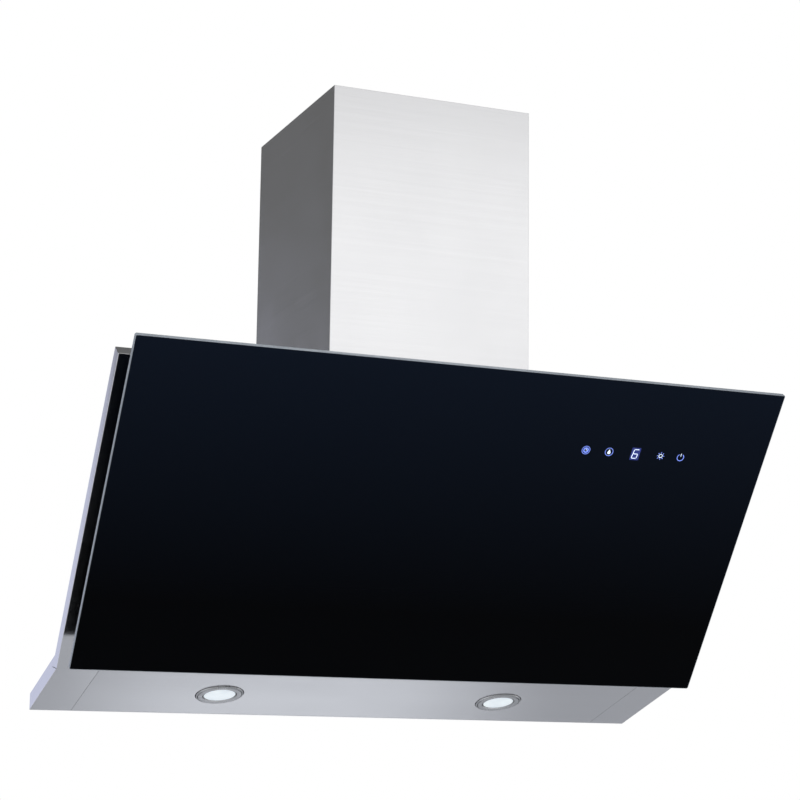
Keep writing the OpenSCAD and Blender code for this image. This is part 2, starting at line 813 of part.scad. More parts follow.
module screws() {
    color(zinc) {
        sloped() for (p = flange_screw_spots) translate([p[0], 0, p[1]])
            rotate([90, 0, 0]) pan_screw(2, 6, 4, 2.4);
        sloped() for (p = hinge_screw_spots) translate([p[0], -2, p[1]])
            rotate([90, 0, 0]) pan_screw(1.9, 2, 3.6, 2.2);
        on_wall() for (p = foot_screw_spots) translate([p[0], p[1], box_top + sheet])
            pan_screw(2, 6, 3.6, 2.2);
        on_wall() for (p = box_screw_spots) translate([p[0], p[1], box_top])
            pan_screw(2, 8, 4, 2.4);
        on_wall() for (p = collar_screw_spots) translate([p[0], p[1], box_top + 2])
            pan_screw(2, 6, 4, 2.4);
        on_wall() translate([0, -fan_out, fan_up]) for (a = scroll_screw_angles)
            translate([3, (scroll_r(a) + 5.5) * cos(a), (scroll_r(a) + 5.5) * sin(a)])
                rotate([0, 90, 0]) pan_screw(1.5, 8, 3, 2);
        at_fan() for (a = arm_angles) rotate([0, 0, a]) translate([arm_r, 0, motor_z1 + 8])
            pan_screw(1.5, 14, 4, 2.4);
    }
}

// ---------- lamps ----------

module at_lamp(side) {
    on_wing() translate([side * lamp_x, lamp_y, 0]) children();
}

// Turned rings: flange under the panel and sleeve through its hole
module lamp_rings() {
    lens_r = 21;
    color(steel) for (side = [-1, 1]) at_lamp(side) rotate_extrude() polygon([
        [lens_r + 0.3, -2.2], [lamp_r - 1, -2.2], [lamp_r, -1.2], [lamp_r, 0],
        [27.4, 0], [27.4, 14], [25.6, 14], [25.6, 0.4], [lens_r + 0.3, 0.4]]);
}

module lamp_lenses() {
    color([0.9, 0.95, 1]) for (side = [-1, 1]) at_lamp(side) rotate_extrude() polygon([
        [0, -2.4], [12, -2.2], [18, -1.8], [21, -1.2], [21, 0.5], [25.2, 0.5], [25.2, 2], [0, 2]]);
}

module lamp_bodies() {
    color([0.85, 0.85, 0.86]) for (side = [-1, 1]) at_lamp(side) {
        translate([0, 0, 14]) cylinder(r = 27.4, h = 3);
        for (i = [-3:3]) block([i * 6 - 1, -18, 17 - eps], [i * 6 + 1, 18, 24]);
    }
}

module led_boards() {
    color([0.95, 0.95, 0.95]) for (side = [-1, 1]) at_lamp(side) {
        translate([0, 0, 8]) cylinder(r = 25.4, h = 1.6);
        for (a = [0:60:300]) rotate([0, 0, a]) translate([12, 0, 6.9])
            cylinder(r = 2.4, h = 1.2);
        translate([0, 0, 9.5]) cylinder(r = 8, h = 4.4);
    }
}

// ---------- glass panel and its hinges ----------

glass_back = -glass_out + glass_t;
frame_back = glass_back + frame_t;
ear_r = 8;
ear_x = 19;
ear_t = 3;

module hinge_bracket(side) {
    color(zinc) sloped() translate([side * hinge_x, 0, 0]) difference() {
        union() {
            block([-25, -2, 404], [25, 0, 443]);
            for (x = [-ear_x - ear_t, ear_x]) {
                translate([x, hinge_y, hinge_z]) rotate([0, 90, 0])
                    cylinder(r = ear_r, h = ear_t);
                block([x, hinge_y, hinge_z - ear_r], [x + ear_t, 0, hinge_z + 6]);
            }
        }
        translate([0, hinge_y, hinge_z]) rotate([0, 90, 0])
            cylinder(r = hinge_pin_r, h = 80, center = true);
        for (x = [-12, 12]) translate([x, 0, 414]) rotate([90, 0, 0])
            cylinder(r = 2, h = 10, center = true);
    }
}

module hinge_bracket_left() { hinge_bracket(-1); }
module hinge_bracket_right() { hinge_bracket(1); }

module hinge_pins() {
    color([0.7, 0.7, 0.72]) sloped() for (side = [-1, 1])
        translate([side * hinge_x - 24, hinge_y, hinge_z]) rotate([0, 90, 0]) {
            cylinder(r = hinge_pin_r, h = 48);
            translate([0, 0, -1.5]) cylinder(r = 5.5, h = 3.5 - 2 * eps);
        }
}

module hinge_arm(side) {
    half = 18;
    color(dark) sloped() translate([side * hinge_x, 0, 0]) difference() {
        union() {
            translate([-half, hinge_y, hinge_z]) rotate([0, 90, 0])
                cylinder(r = 7, h = 2 * half);
            block([-half, frame_back + 1, hinge_z - 6], [half, hinge_y, hinge_z + 6]);
            block([-half, frame_back, 424], [half, frame_back + 2, 448]);
        }
        translate([0, hinge_y, hinge_z]) rotate([0, 90, 0])
            cylinder(r = hinge_pin_r + running, h = 80, center = true);
    }
}

module hinge_arm_left() { hinge_arm(-1); }
module hinge_arm_right() { hinge_arm(1); }

module glass_panel() {
    color([0.02, 0.025, 0.035]) sloped()
        block([-glass_w / 2, -glass_out, glass_low], [glass_w / 2, glass_back, glass_top]);
}

// Channel-section frame bonded to the back of the glass, open to the rear
module glass_frame() {
    wall = 1.2;
    color(dark) sloped() difference() {
        block([-frame_w / 2, glass_back, frame_low], [frame_w / 2, frame_back, frame_high]);
        block([-frame_w / 2 + rail, glass_back - 1, frame_low + rail],
            [frame_w / 2 - rail, frame_back + 1, frame_high - rail]);
        difference() {
            block([-frame_w / 2 + wall, glass_back + wall, frame_low + wall],
                [frame_w / 2 - wall, frame_back + 1, frame_high - wall]);
            block([-frame_w / 2 + rail - wall, glass_back, frame_low + rail - wall],
                [frame_w / 2 - rail + wall, frame_back + 2, frame_high - rail + wall]);
        }
    }
}

catch_x = 330;
catch_z = 72;

module catch_magnets() {
    color(dark) sloped() for (side = [-1, 1]) translate([side * catch_x, 0, catch_z]) {
        block([-20, frame_back + 1.5, -9], [20, 0, 9]);
        block([-28, -2, -9], [28, 0, 9]);
    }
}

module striker_plates() {
    color(zinc) sloped() for (side = [-1, 1]) translate([side * catch_x, 0, catch_z])
        block([-20, frame_back, -12.5], [20, frame_back + 1, 12.5]);
}

// Rubber buffers on the front face that the frame closes against
module bumpers() {
    color(dark) sloped() for (side = [-1, 1]) for (z = [72, 300])
        translate([side * 388, 0, z]) rotate([90, 0, 0]) {
            cylinder(r = 7, h = 3);
            cylinder(r = 5, h = -frame_back - 0.3);
        }
}

module touch_housing() {
    wall = 1.5;
    depth = 11;
    color(dark) sloped() translate([touch_x, glass_back, touch_z]) difference() {
        block([-touch_w / 2, 0, -touch_h / 2], [touch_w / 2, depth, touch_h / 2]);
        block([-touch_w / 2 + wall, -1, -touch_h / 2 + wall],
            [touch_w / 2 - wall, depth - wall, touch_h / 2 - wall]);
        translate([-70, depth, 0]) rotate([90, 0, 0]) cylinder(r = 4, h = 10, center = true);
    }
}

// Distances of the five touch keys from the middle of the row
key_spots = [-71, -37, 2, 40, 70];

module touch_board() {
    color([0.1, 0.35, 0.2]) sloped() translate([touch_x, glass_back, touch_z]) {
        block([-89, 6, -17], [89, 7.4, 17]);
        for (i = [0, 1, 3, 4]) translate([key_spots[i], 6.1, 0]) rotate([90, 0, 0])
            cylinder(r = 6, h = 6);
        for (x = [-84, 84]) translate([x, 9.5, 0]) rotate([90, 0, 0]) cylinder(r = 2, h = 3);
    }
}

module digit_display() {
    color([0.1, 0.12, 0.2]) sloped() translate([touch_x + key_spots[2], glass_back, touch_z])
        block([-8, 0, -11], [8, 6, 11]);
}

body_shell();
lamp_panel();
panel_clips();
motor_box_back();
motor_box_top();
motor_box_floor();
motor_box_side_left();
motor_box_side_right();
filter_seat();
filter_frame_left();
filter_frame_right();
filter_meshes();
filter_latch_left();
filter_latch_right();
scroll_left();
scroll_right();
impeller();
motor_shaft();
rotor();
stator();
motor_bearings();
motor_shell_front();
motor_shell_rear();
motor_bracket();
motor_grommets();
capacitor();
control_box();
control_lid();
main_board();
terminal_block();
lamp_driver();
cable_gland();
wiring();
outlet_collar();
flap_pins();
flap_front();
flap_back();
lower_chimney();
chimney_guides();
upper_chimney();
upper_bracket();
bracket_screws();
screws();
lamp_rings();
lamp_lenses();
lamp_bodies();
led_boards();
hinge_bracket_left();
hinge_bracket_right();
hinge_pins();
catch_magnets();
bumpers();
glass_panel();
glass_frame();
hinge_arm_left();
hinge_arm_right();
striker_plates();
touch_housing();
touch_board();
digit_display();
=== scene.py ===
"""Wall-mounted range hood: folded steel body, tilting glass front, chimney covers and blower.

The packed model is loaded as a fixed frame. Each operator below makes one piece, or one group of
like pieces, in its place in that frame, with its own procedural finish.
"""

import math
from contextlib import contextmanager

import bmesh
import bpy
from bpy.props import FloatProperty, FloatVectorProperty, IntProperty, PointerProperty
from mathutils import Matrix, Vector


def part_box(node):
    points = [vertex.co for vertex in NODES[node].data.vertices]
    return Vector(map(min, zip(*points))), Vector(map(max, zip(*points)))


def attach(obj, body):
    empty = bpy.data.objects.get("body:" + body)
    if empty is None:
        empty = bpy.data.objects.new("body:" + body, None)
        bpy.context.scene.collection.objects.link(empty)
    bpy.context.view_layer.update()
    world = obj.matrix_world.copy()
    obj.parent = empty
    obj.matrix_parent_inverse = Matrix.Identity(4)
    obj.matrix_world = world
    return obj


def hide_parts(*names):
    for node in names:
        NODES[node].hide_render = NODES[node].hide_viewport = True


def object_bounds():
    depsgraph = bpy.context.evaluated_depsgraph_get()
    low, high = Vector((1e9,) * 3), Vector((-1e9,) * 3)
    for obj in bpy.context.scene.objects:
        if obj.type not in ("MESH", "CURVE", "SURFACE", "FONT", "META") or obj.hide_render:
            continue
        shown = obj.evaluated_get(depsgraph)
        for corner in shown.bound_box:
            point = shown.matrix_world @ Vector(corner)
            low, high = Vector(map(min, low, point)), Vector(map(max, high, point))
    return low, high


bl_info = {
    "name": "Range Hood",
    "version": (1, 0, 0),
    "blender": (4, 5, 0),
    "location": "View3D > Sidebar > Range Hood",
    "description": "Builds a wall-mounted range hood with a tilting glass front",
    "category": "Object",
}

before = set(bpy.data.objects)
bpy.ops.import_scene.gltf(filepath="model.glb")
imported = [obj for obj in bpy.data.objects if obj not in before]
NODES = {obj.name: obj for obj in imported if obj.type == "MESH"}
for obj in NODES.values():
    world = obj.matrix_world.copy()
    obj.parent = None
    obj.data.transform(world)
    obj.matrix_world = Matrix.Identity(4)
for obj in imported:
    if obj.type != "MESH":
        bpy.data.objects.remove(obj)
CAD_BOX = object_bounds()
MM = 0.001

# The front face leans by TILT; the lower wing falls from the same bend to the wall.
TILT = math.radians(35)
BEND_OUT = 0.150
BEND_UP = 0.049
BEND = Vector((0, -BEND_OUT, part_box("body_shell")[0].z + BEND_UP))
WING_TILT = -math.atan2(BEND_UP, BEND_OUT)

# Local frames: x to the right, y back through the sheet, z up the slope or up through the wing.
SLOPE = Matrix.Translation(BEND) @ Matrix.Rotation(TILT, 4, "X")
WING = Matrix.Translation(BEND) @ Matrix.Rotation(WING_TILT, 4, "X")
# Bodies that most pieces ride on, and the least angle at which an edge counts as sharp.
HOOD = "hood"
DOOR = "glass_door"
SHARP = math.radians(30)


def local_box(node, matrix):
    """Lowest and highest corner of a CAD node, in the frame that matrix places."""
    back = matrix.inverted()
    places = [back @ vertex.co for vertex in NODES[node].data.vertices]
    low = Vector([min(place[axis] for place in places) for axis in range(3)])
    high = Vector([max(place[axis] for place in places) for axis in range(3)])
    return low, high


# ---------- sizes and colours ----------


def length_property(name, description, default, low, high):
    """A length; its default and limits are given in millimetres."""
    return FloatProperty(
        name=name,
        description=description,
        default=default * MM,
        min=low * MM,
        max=high * MM,
        unit="LENGTH",
    )


def colour_property(name, description, default):
    """A colour, as red, green and blue."""
    return FloatVectorProperty(
        name=name,
        description=description,
        default=default,
        subtype="COLOR",
        size=3,
        min=0.0,
        max=1.0,
    )


def angle_property(name, description, default):
    """An angle in radians."""
    return FloatProperty(
        name=name, description=description, default=default, subtype="ANGLE", unit="ROTATION"
    )


class SheetSizes(bpy.types.PropertyGroup):
    """Radii and seams of the folded sheet."""

    fold_radius: length_property(
        "Fold radius", "Outside radius of the folds along the steel body", 0.7, 0.3, 0.75
    )
    cover_radius: length_property(
        "Cover radius", "Outside radius of the chimney covers' front corners", 0.7, 0.3, 0.75
    )
    cut_edge: length_property(
        "Cut edge", "Rounding of a cut and deburred sheet edge", 0.15, 0.05, 0.3
    )
    # The mitre line is painted shade: a dark strip standing for the shaded gap where the side folds
    # meet.
    seam: length_property(
        "Mitre seam", "Width of the dark line where the side folds meet", 0.9, 0.4, 1.5
    )


class GlassSizes(bpy.types.PropertyGroup):
    """Corners and edges of the glass panel, and the signs on it."""

    corner: length_property(
        "Corner radius", "Radius of the glass panel's four corners", 2.5, 1.0, 6.0
    )
    arris: length_property(
        "Arris", "Width of the ground chamfer along the glass edges", 0.9, 0.4, 1.5
    )
    line: length_property("Sign line", "Line width of the lit signs", 0.8, 0.4, 1.4)
    sign: length_property("Sign size", "Outer diameter of a round sign", 12.0, 8.0, 16.0)


class MeshSizes(bpy.types.PropertyGroup):
    """Expanded aluminium mesh of the grease filters."""

    cell_w: length_property("Cell width", "Width of one diamond of the mesh", 9.0, 5.0, 14.0)
    cell_h: length_property("Cell height", "Height of one diamond of the mesh", 5.0, 3.0, 8.0)
    strand: length_property("Strand", "Thickness of a mesh strand", 0.7, 0.4, 1.2)
    layers: IntProperty(
        name="Layers", description="Number of mesh layers in one filter", default=3, min=1, max=4
    )


class HoodColours(bpy.types.PropertyGroup):
    """Colours of the finishes."""

    steel: colour_property("Stainless steel", "Colour of the brushed steel", (0.67, 0.67, 0.675))
    zinc: colour_property("Galvanised sheet", "Colour of the zinc coated sheet", (0.50, 0.52, 0.54))
    glass: colour_property(
        "Black glass", "Colour of the paint behind the glass", (0.0040, 0.0070, 0.0140)
    )
    glow: colour_property("Sign light", "Colour of the lit signs", (0.20, 0.30, 0.95))
    lamp: colour_property("Lamp light", "Colour of the lamps' light", (0.88, 0.95, 1.0))
    plastic: colour_property(
        "Dark plastic", "Colour of the dark mouldings", (0.030, 0.031, 0.034)
    )


class StudioSettings(bpy.types.PropertyGroup):
    """Camera, floor and lights."""

    camera_place: FloatVectorProperty(
        name="Camera place",
        description="Where the camera stands",
        default=(-1.0477, -2.7494, -0.3136),
        subtype="TRANSLATION",
        unit="LENGTH",
        size=3,
    )
    camera_turn: angle_property(
        "Camera turn", "Turn of the camera to the right of straight back", 0.3897
    )
    camera_rise: angle_property("Camera rise", "Angle at which the camera looks up", 0.1795)
    camera_roll: angle_property("Camera roll", "Roll of the camera about its view", 0.0132)
    lens: FloatProperty(
        name="Lens",
        description="Focal length in millimetres on a 36 mm frame",
        default=91.9,
        min=35.0,
        max=200.0,
    )
    floor_drop: length_property("Floor", "How far the floor lies below the hood", 850, 300, 1200)
    key_power: FloatProperty(
        name="Key light",
        description="Power of the large soft light, in watts",
        default=60.0,
        min=0.0,
        max=500.0,
    )


GROUPS = {
    "hood_sheet": SheetSizes,
    "hood_glass": GlassSizes,
    "hood_mesh": MeshSizes,
    "hood_colours": HoodColours,
    "hood_studio": StudioSettings,
}


# ---------- mesh helpers ----------


def block(bm, low, high, edge=0.0, steps=2):
    """Adds a block between two corners, its edges rounded by edge."""
    low, high = Vector(low), Vector(high)
    made = bmesh.ops.create_cube(bm, size=1.0)["verts"]
    bmesh.ops.scale(bm, vec=high - low, verts=made)
    bmesh.ops.translate(bm, vec=(low + high) / 2, verts=made)
    if edge > 0:
        round_edges(bm, {link for vertex in made for link in vertex.link_edges}, edge, steps)


def round_edges(bm, edges, radius, steps):
    """Rounds the given edges."""
    bmesh.ops.bevel(
        bm,
        geom=list(edges),
        offset=radius,
        offset_type="OFFSET",
        segments=steps,
        profile=0.5,
        affect="EDGES",
        material=-1,
        clamp_overlap=False,
    )


@contextmanager
def placing(bm, matrix):
    """Moves what is added to bm inside the block by matrix."""
    before = set(bm.verts)
    yield
    made = [vertex for vertex in bm.verts if vertex not in before]
    bmesh.ops.transform(bm, matrix=matrix, verts=made)


def turn_about_z(angle):
    """A turn about the local z axis."""
    return Matrix.Rotation(angle, 4, "Z")


def spin(bm, verts, geometry, angle, steps):
    """Spins a new outline about the z axis, joins its ends and turns its faces outwards."""
    before = set(bm.verts) - set(verts)
    bmesh.ops.spin(
        bm,
        geom=geometry,
        axis=(0, 0, 1),
        cent=(0, 0, 0),
        angle=angle,
        steps=steps,
        use_merge=angle == math.tau,
        use_duplicate=False,
    )
    made = [vertex for vertex in bm.verts if vertex not in before]
    bmesh.ops.remove_doubles(bm, verts=made, dist=1e-6)
    made = [vertex for vertex in bm.verts if vertex not in before]
    faces = {face for vertex in made for face in vertex.link_faces}
    bmesh.ops.recalc_face_normals(bm, faces=list(faces))


def turned(bm, outline, matrix=None, steps=48, closed=True):
    """Adds an outline of (radius, height) points turned round the local z axis."""
    with placing(bm, matrix or Matrix.Identity(4)):
        verts = [bm.verts.new((radius, 0, height)) for radius, height in outline]
        pairs = list(zip(verts, verts[1:]))
        if closed:
            pairs.append((verts[-1], verts[0]))
        edges = [bm.edges.new(pair) for pair in pairs]
        spin(bm, verts, verts + edges, math.tau, steps)


def rod(bm, radius, low, high, matrix, edge, steps):
    """Adds a rod along z with rims cut back by edge."""
    outline = [(0, low), (radius - edge, low), (radius, low + edge), (radius, high - edge),
               (radius - edge, high), (0, high)]
    turned(bm, outline, matrix, steps, closed=False)


def prism(bm, outline, low, high):
    """Adds a flat outline of (x, y) points raised from low to high along z."""
    verts = [bm.verts.new((x, y, low)) for x, y in outline]
    face = bm.faces.new(verts)
    raised = bmesh.ops.extrude_face_region(bm, geom=[face])["geom"]
    top = [item for item in raised if isinstance(item, bmesh.types.BMVert)]
    bmesh.ops.translate(bm, vec=(0, 0, high - low), verts=top)
    faces = {side for vertex in verts + top for side in vertex.link_faces}
    bmesh.ops.recalc_face_normals(bm, faces=list(faces))


def is_sharp(edge):
    """Whether two faces meet at the edge at more than SHARP."""
    return len(edge.link_faces) == 2 and edge.calc_face_angle() > SHARP


def merged_copy(node):
    """A CAD node's mesh with its loose triangles joined into flat faces."""
    bm = bmesh.new()
    bm.from_mesh(NODES[node].data)
    bmesh.ops.remove_doubles(bm, verts=bm.verts, dist=2e-6)
    bmesh.ops.dissolve_limit(
        bm,
        angle_limit=math.radians(0.5),
        verts=bm.verts,
        edges=bm.edges,
        use_dissolve_boundaries=False,
    )
    return bm


def finish_piece(name, bm, body, slot, *finishes, nodes=(), matrix=None, smooth=35):
    """Makes bm an object in its place, riding on body, and hides the nodes it stands for."""
    if matrix:
        bmesh.ops.transform(bm, matrix=matrix, verts=bm.verts)
    mesh = bpy.data.meshes.new(name)
    bm.to_mesh(mesh)
    bm.free()
    mesh.shade_smooth()
    mesh.set_sharp_from_angle(angle=math.radians(smooth))
    for finish in finishes:
        mesh.materials.append(FINISHES[finish])
    piece = bpy.data.objects.new(name, mesh)
    bpy.context.scene.collection.objects.link(piece)
    even = piece.modifiers.new("even_faces", "WEIGHTED_NORMAL")
    even.mode = "FACE_AREA"
    even.keep_sharp = True
    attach(piece, body)
    if nodes:
        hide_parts(*nodes)


def rounded_node(node, name, body, slot, edge, steps=2, finish=None, folds=None, fold=0.0):
    """Stands for a CAD node with every sharp edge rounded, and its folds by a larger radius."""
    bm = merged_copy(node)
    if folds:
        picked = [link for link in bm.edges if is_sharp(link) and folds(link)]
        round_edges(bm, picked, fold, 3)
    round_edges(bm, [link for link in bm.edges if is_sharp(link)], edge, steps)
    finish_piece(name, bm, body, slot, finish or slot, nodes=[node])


def rounded_nodes(body, rows):
    """Rounds several nodes of one body; rows are (node, name, slot, edge in millimetres)."""
    for node, name, slot, edge in rows:
        rounded_node(node, name, body, slot, edge * MM)


def dress_node(node, finish):
    """Gives a CAD node that is shown as it is its finish."""
    held = NODES[node]
    if not held.material_slots:
        held.data.materials.append(FINISHES[finish])
    for place in held.material_slots:
        place.material = FINISHES[finish]


# ---------- shader groups ----------


def add(tree, kind, inputs=None, **settings):
    """Adds a node with its settings and the values of its free inputs."""
    made = tree.nodes.new(kind)
    for key, value in settings.items():
        setattr(made, key, value)
    for key, value in (inputs or {}).items():
        made.inputs[key].default_value = value
    return made


def new_group(name, outputs, **inputs):
    """Starts a shader group that reads a vector; inputs are vectors (None) or values."""
    group = bpy.data.node_groups.new(name, "ShaderNodeTree")
    for label, default in {"Vector": None, **inputs}.items():
        kind = "NodeSocketVector" if default is None else "NodeSocketFloat"
        socket = group.interface.new_socket(name=label, in_out="INPUT", socket_type=kind)
        if default is not None:
            socket.default_value = default
    for label in outputs:
        group.interface.new_socket(name=label, in_out="OUTPUT", socket_type="NodeSocketFloat")
    given = add(group, "NodeGroupInput").outputs
    return group, given, add(group, "NodeGroupOutput").inputs


def spread(tree, value, low, high, to_low=0.0, to_high=1.0):
    """Maps a value from low..high to to_low..to_high, clamped."""
    made = add(
        tree,
        "ShaderNodeMapRange",
        {"From Min": low, "From Max": high, "To Min": to_low, "To Max": to_high},
    )
    tree.links.new(value, made.inputs["Value"])
    return made.outputs["Result"]


def combine(tree, operation, first, second):
    """Joins two values, each an output or a number, by a Math node."""
    made = add(tree, "ShaderNodeMath", operation=operation)
    for socket, value in zip(made.inputs, (first, second)):
        if isinstance(value, (int, float)):
            socket.default_value = value
        else:
            tree.links.new(value, socket)
    return made.outputs[0]


def blended(tree, mask, first, second):
    """A colour between first and second, each a colour or an output."""
    mixer = add(tree, "ShaderNodeMix", data_type="RGBA")
    tree.links.new(mask, mixer.inputs[0])
    for index, colour in ((6, first), (7, second)):
        if isinstance(colour, bpy.types.NodeSocket):
            tree.links.new(colour, mixer.inputs[index])
        else:
            mixer.inputs[index].default_value = (*colour, 1.0)
    return mixer.outputs[2]


def noise(tree, vector, scale, detail, roughness=0.6):
    """Adds a noise texture read at vector; returns its value."""
    made = add(
        tree,
        "ShaderNodeTexNoise",
        {"Scale": scale, "Detail": detail, "Roughness": roughness},
    )
    tree.links.new(vector, made.inputs["Vector"])
    return made.outputs["Fac"]


def make_brushed_lines():
    """Long fine lines along x, for a vector already stretched along them."""
    group, given, result = new_group("Brushed Lines", ["Lines", "Bands"])
    fine = noise(group, given["Vector"], 1.0, 4.0, 0.75)
    coarse = noise(group, given["Vector"], 0.11, 2.0, 0.5)
    group.links.new(spread(group, fine, 0.3, 0.7), result["Lines"])
    group.links.new(spread(group, coarse, 0.35, 0.65), result["Bands"])
    return group


def make_patches():
    """Slow, uneven patches, as of handling, cleaning or rolling."""
    group, given, result = new_group("Uneven Patches", ["Mask"], Scale=6.0)
    texture = add(group, "ShaderNodeTexNoise", {"Detail": 4.0, "Roughness": 0.62})
    group.links.new(given["Vector"], texture.inputs["Vector"])
    group.links.new(given["Scale"], texture.inputs["Scale"])
    group.links.new(spread(group, texture.outputs["Fac"], 0.32, 0.68), result["Mask"])
    return group


def make_edge_wear():
    """Marks convex edges, broken up by noise."""
    group, given, result = new_group("Edge Wear", ["Mask"], Amount=0.6)
    shape = add(group, "ShaderNodeNewGeometry")
    edge = spread(group, shape.outputs["Pointiness"], 0.51, 0.60)
    broken = spread(group, noise(group, given["Vector"], 160.0, 3.0), 0.35, 0.6)
    worn = combine(group, "MULTIPLY", edge, broken)
    group.links.new(combine(group, "MULTIPLY", worn, given["Amount"]), result["Mask"])
    return group


def make_moulded_grain():
    """Fine leather-like grain of a textured mould."""
    group, given, result = new_group("Moulded Grain", ["Height"], Scale=900.0)
    cells = add(group, "ShaderNodeTexVoronoi", feature="SMOOTH_F1")
    group.links.new(given["Vector"], cells.inputs["Vector"])
    group.links.new(given["Scale"], cells.inputs["Scale"])
    group.links.new(spread(group, cells.outputs["Distance"], 0.0, 0.8), result["Height"])
    return group


def make_dust():
    """Thin dust that has settled on faces that look up."""
    group, given, result = new_group("Settled Dust", ["Mask"], Normal=None, Amount=0.3)
    parts = add(group, "ShaderNodeSeparateXYZ")
    group.links.new(given["Normal"], parts.inputs["Vector"])
    facing = spread(group, parts.outputs["Z"], 0.3, 0.95)
    uneven = spread(group, noise(group, given["Vector"], 14.0, 5.0), 0.3, 0.75)
    mask = combine(group, "MULTIPLY", facing, uneven)
    group.links.new(combine(group, "MULTIPLY", mask, given["Amount"]), result["Mask"])
    return group


SHADER_GROUPS = {}


def make_shader_groups():
    """Builds each shared group once."""
    SHADER_GROUPS.update(
        lines=make_brushed_lines(),
        patches=make_patches(),
        wear=make_edge_wear(),
        grain=make_moulded_grain(),
        dust=make_dust(),
    )


# ---------- finishes ----------


class Finish:
    """One material: its tree, its Principled shader and the piece's own coordinates."""

    def __init__(self, name, **constants):
        self.material = bpy.data.materials.new(name)
        self.material.use_nodes = True
        self.tree = self.material.node_tree
        self.shader = self.tree.nodes["Principled BSDF"]
        self.place = add(self.tree, "ShaderNodeTexCoord")
        self.vector = self.place.outputs["Object"]
        for label, value in constants.items():
            self.shader.inputs[label.replace("_", " ")].default_value = value

    def link(self, source, socket):
        """Feeds one of the shader's inputs."""
        self.tree.links.new(source, self.shader.inputs[socket])

    def stretched(self, cell, turn=(0, 0, 0), centre=(0, 0, 0)):
        """Coordinates counted in cells of the given size, from centre, along turned axes."""
        mapping = add(
            self.tree,
            "ShaderNodeMapping",
            {"Location": centre, "Rotation": turn, "Scale": cell},
            vector_type="TEXTURE",
        )
        self.tree.links.new(self.vector, mapping.inputs["Vector"])
        return mapping.outputs["Vector"]

    def effect(self, kind, vector=None, output=0, **values):
        """Places a shared group and returns one of its outputs."""
        made = add(self.tree, "ShaderNodeGroup", values, node_tree=SHADER_GROUPS[kind])
        self.tree.links.new(vector or self.vector, made.inputs["Vector"])
        if kind == "dust":
            self.tree.links.new(self.place.outputs["Normal"], made.inputs["Normal"])
        return made.outputs[output]

    def texture(self, kind, inputs, vector=None, **settings):
        """Places a texture node read at the piece's own coordinates, or at vector."""
        made = add(self.tree, kind, inputs, **settings)
        self.tree.links.new(vector or self.vector, made.inputs["Vector"])
        return made

    def blended(self, mask, first, second):
        """A colour between first and second, each a colour or an output."""
        return blended(self.tree, mask, first, second)

    def roughness(self, value, low, high, start=0.0, end=1.0):
        """Roughness from low to high as value goes from start to end."""
        self.link(spread(self.tree, value, start, end, low, high), "Roughness")

    def shaped(self, *heights):
        """Bump nodes in a row, one for each (height, strength, distance)."""
        before = None
        for height, strength, distance in heights:
            bump = add(self.tree, "ShaderNodeBump", {"Strength": strength, "Distance": distance})
            self.tree.links.new(height, bump.inputs["Height"])
            if before:
                self.tree.links.new(before, bump.inputs["Normal"])
            before = bump.outputs["Normal"]
        self.link(before, "Normal")


def shade(colour, factor):
    """A colour made lighter or darker."""
    return tuple(min(1.0, part * factor) for part in colour)


def brushed_steel(name, colour, turn, rough):
    """Stainless sheet brushed along x, with slow bands and faint wipe marks."""
    finish = Finish(name, Metallic=1.0, Anisotropic=0.5, Anisotropic_Rotation=0.25)
    along = finish.stretched((0.25, 0.25, 0.0007), turn)
    lines = finish.effect("lines", along)
    bands = finish.effect("lines", along, "Bands")
    wiped = finish.effect("patches", Scale=5.0)
    base = finish.blended(lines, shade(colour, 0.965), shade(colour, 1.035))
    faint = combine(finish.tree, "MULTIPLY", bands, 0.20)
    finish.link(finish.blended(faint, base, shade(colour, 0.93)), "Base Color")
    rough_lines = spread(finish.tree, lines, 0.0, 1.0, rough - 0.02, rough + 0.03)
    rough_wiped = spread(finish.tree, wiped, 0.0, 1.0, -0.02, 0.03)
    finish.link(combine(finish.tree, "ADD", rough_lines, rough_wiped), "Roughness")
    finish.shaped((lines, 0.03, 0.0001))
    return finish.material


def galvanised_sheet(name, colour):
    """Zinc coated sheet with flat crystals of slightly different tone."""
    finish = Finish(name, Metallic=0.9)
    crystals = finish.texture("ShaderNodeTexVoronoi", {"Scale": 75.0, "Randomness": 1.0})
    tone = add(finish.tree, "ShaderNodeSeparateColor")
    finish.tree.links.new(crystals.outputs["Color"], tone.inputs["Color"])
    facets = tone.outputs["Red"]
    stains = finish.effect("patches", Scale=9.0)
    dust = finish.effect("dust", Amount=0.25)
    base = finish.blended(facets, shade(colour, 0.80), shade(colour, 1.22))
    base = finish.blended(combine(finish.tree, "MULTIPLY", stains, 0.3), base, shade(colour, 0.75))
    finish.link(finish.blended(dust, base, (0.42, 0.40, 0.37)), "Base Color")
    finish.roughness(facets, 0.30, 0.50)
    finish.shaped((facets, 0.10, 0.0003), (stains, 0.05, 0.0010))
    return finish.material


def plain_aluminium(name, colour):
    """Rolled or pressed aluminium with faint rolling lines."""
    finish = Finish(name, Metallic=1.0)
    lines = finish.effect("lines", finish.stretched((0.02, 0.10, 0.002)))
    patches = finish.effect("patches", Scale=20.0)
    worn = finish.effect("wear", Amount=0.2)
    base = finish.blended(lines, shade(colour, 0.90), shade(colour, 1.05))
    finish.link(finish.blended(worn, base, shade(colour, 1.2)), "Base Color")
    finish.roughness(patches, 0.30, 0.44)
    finish.shaped((lines, 0.08, 0.0002))
    return finish.material


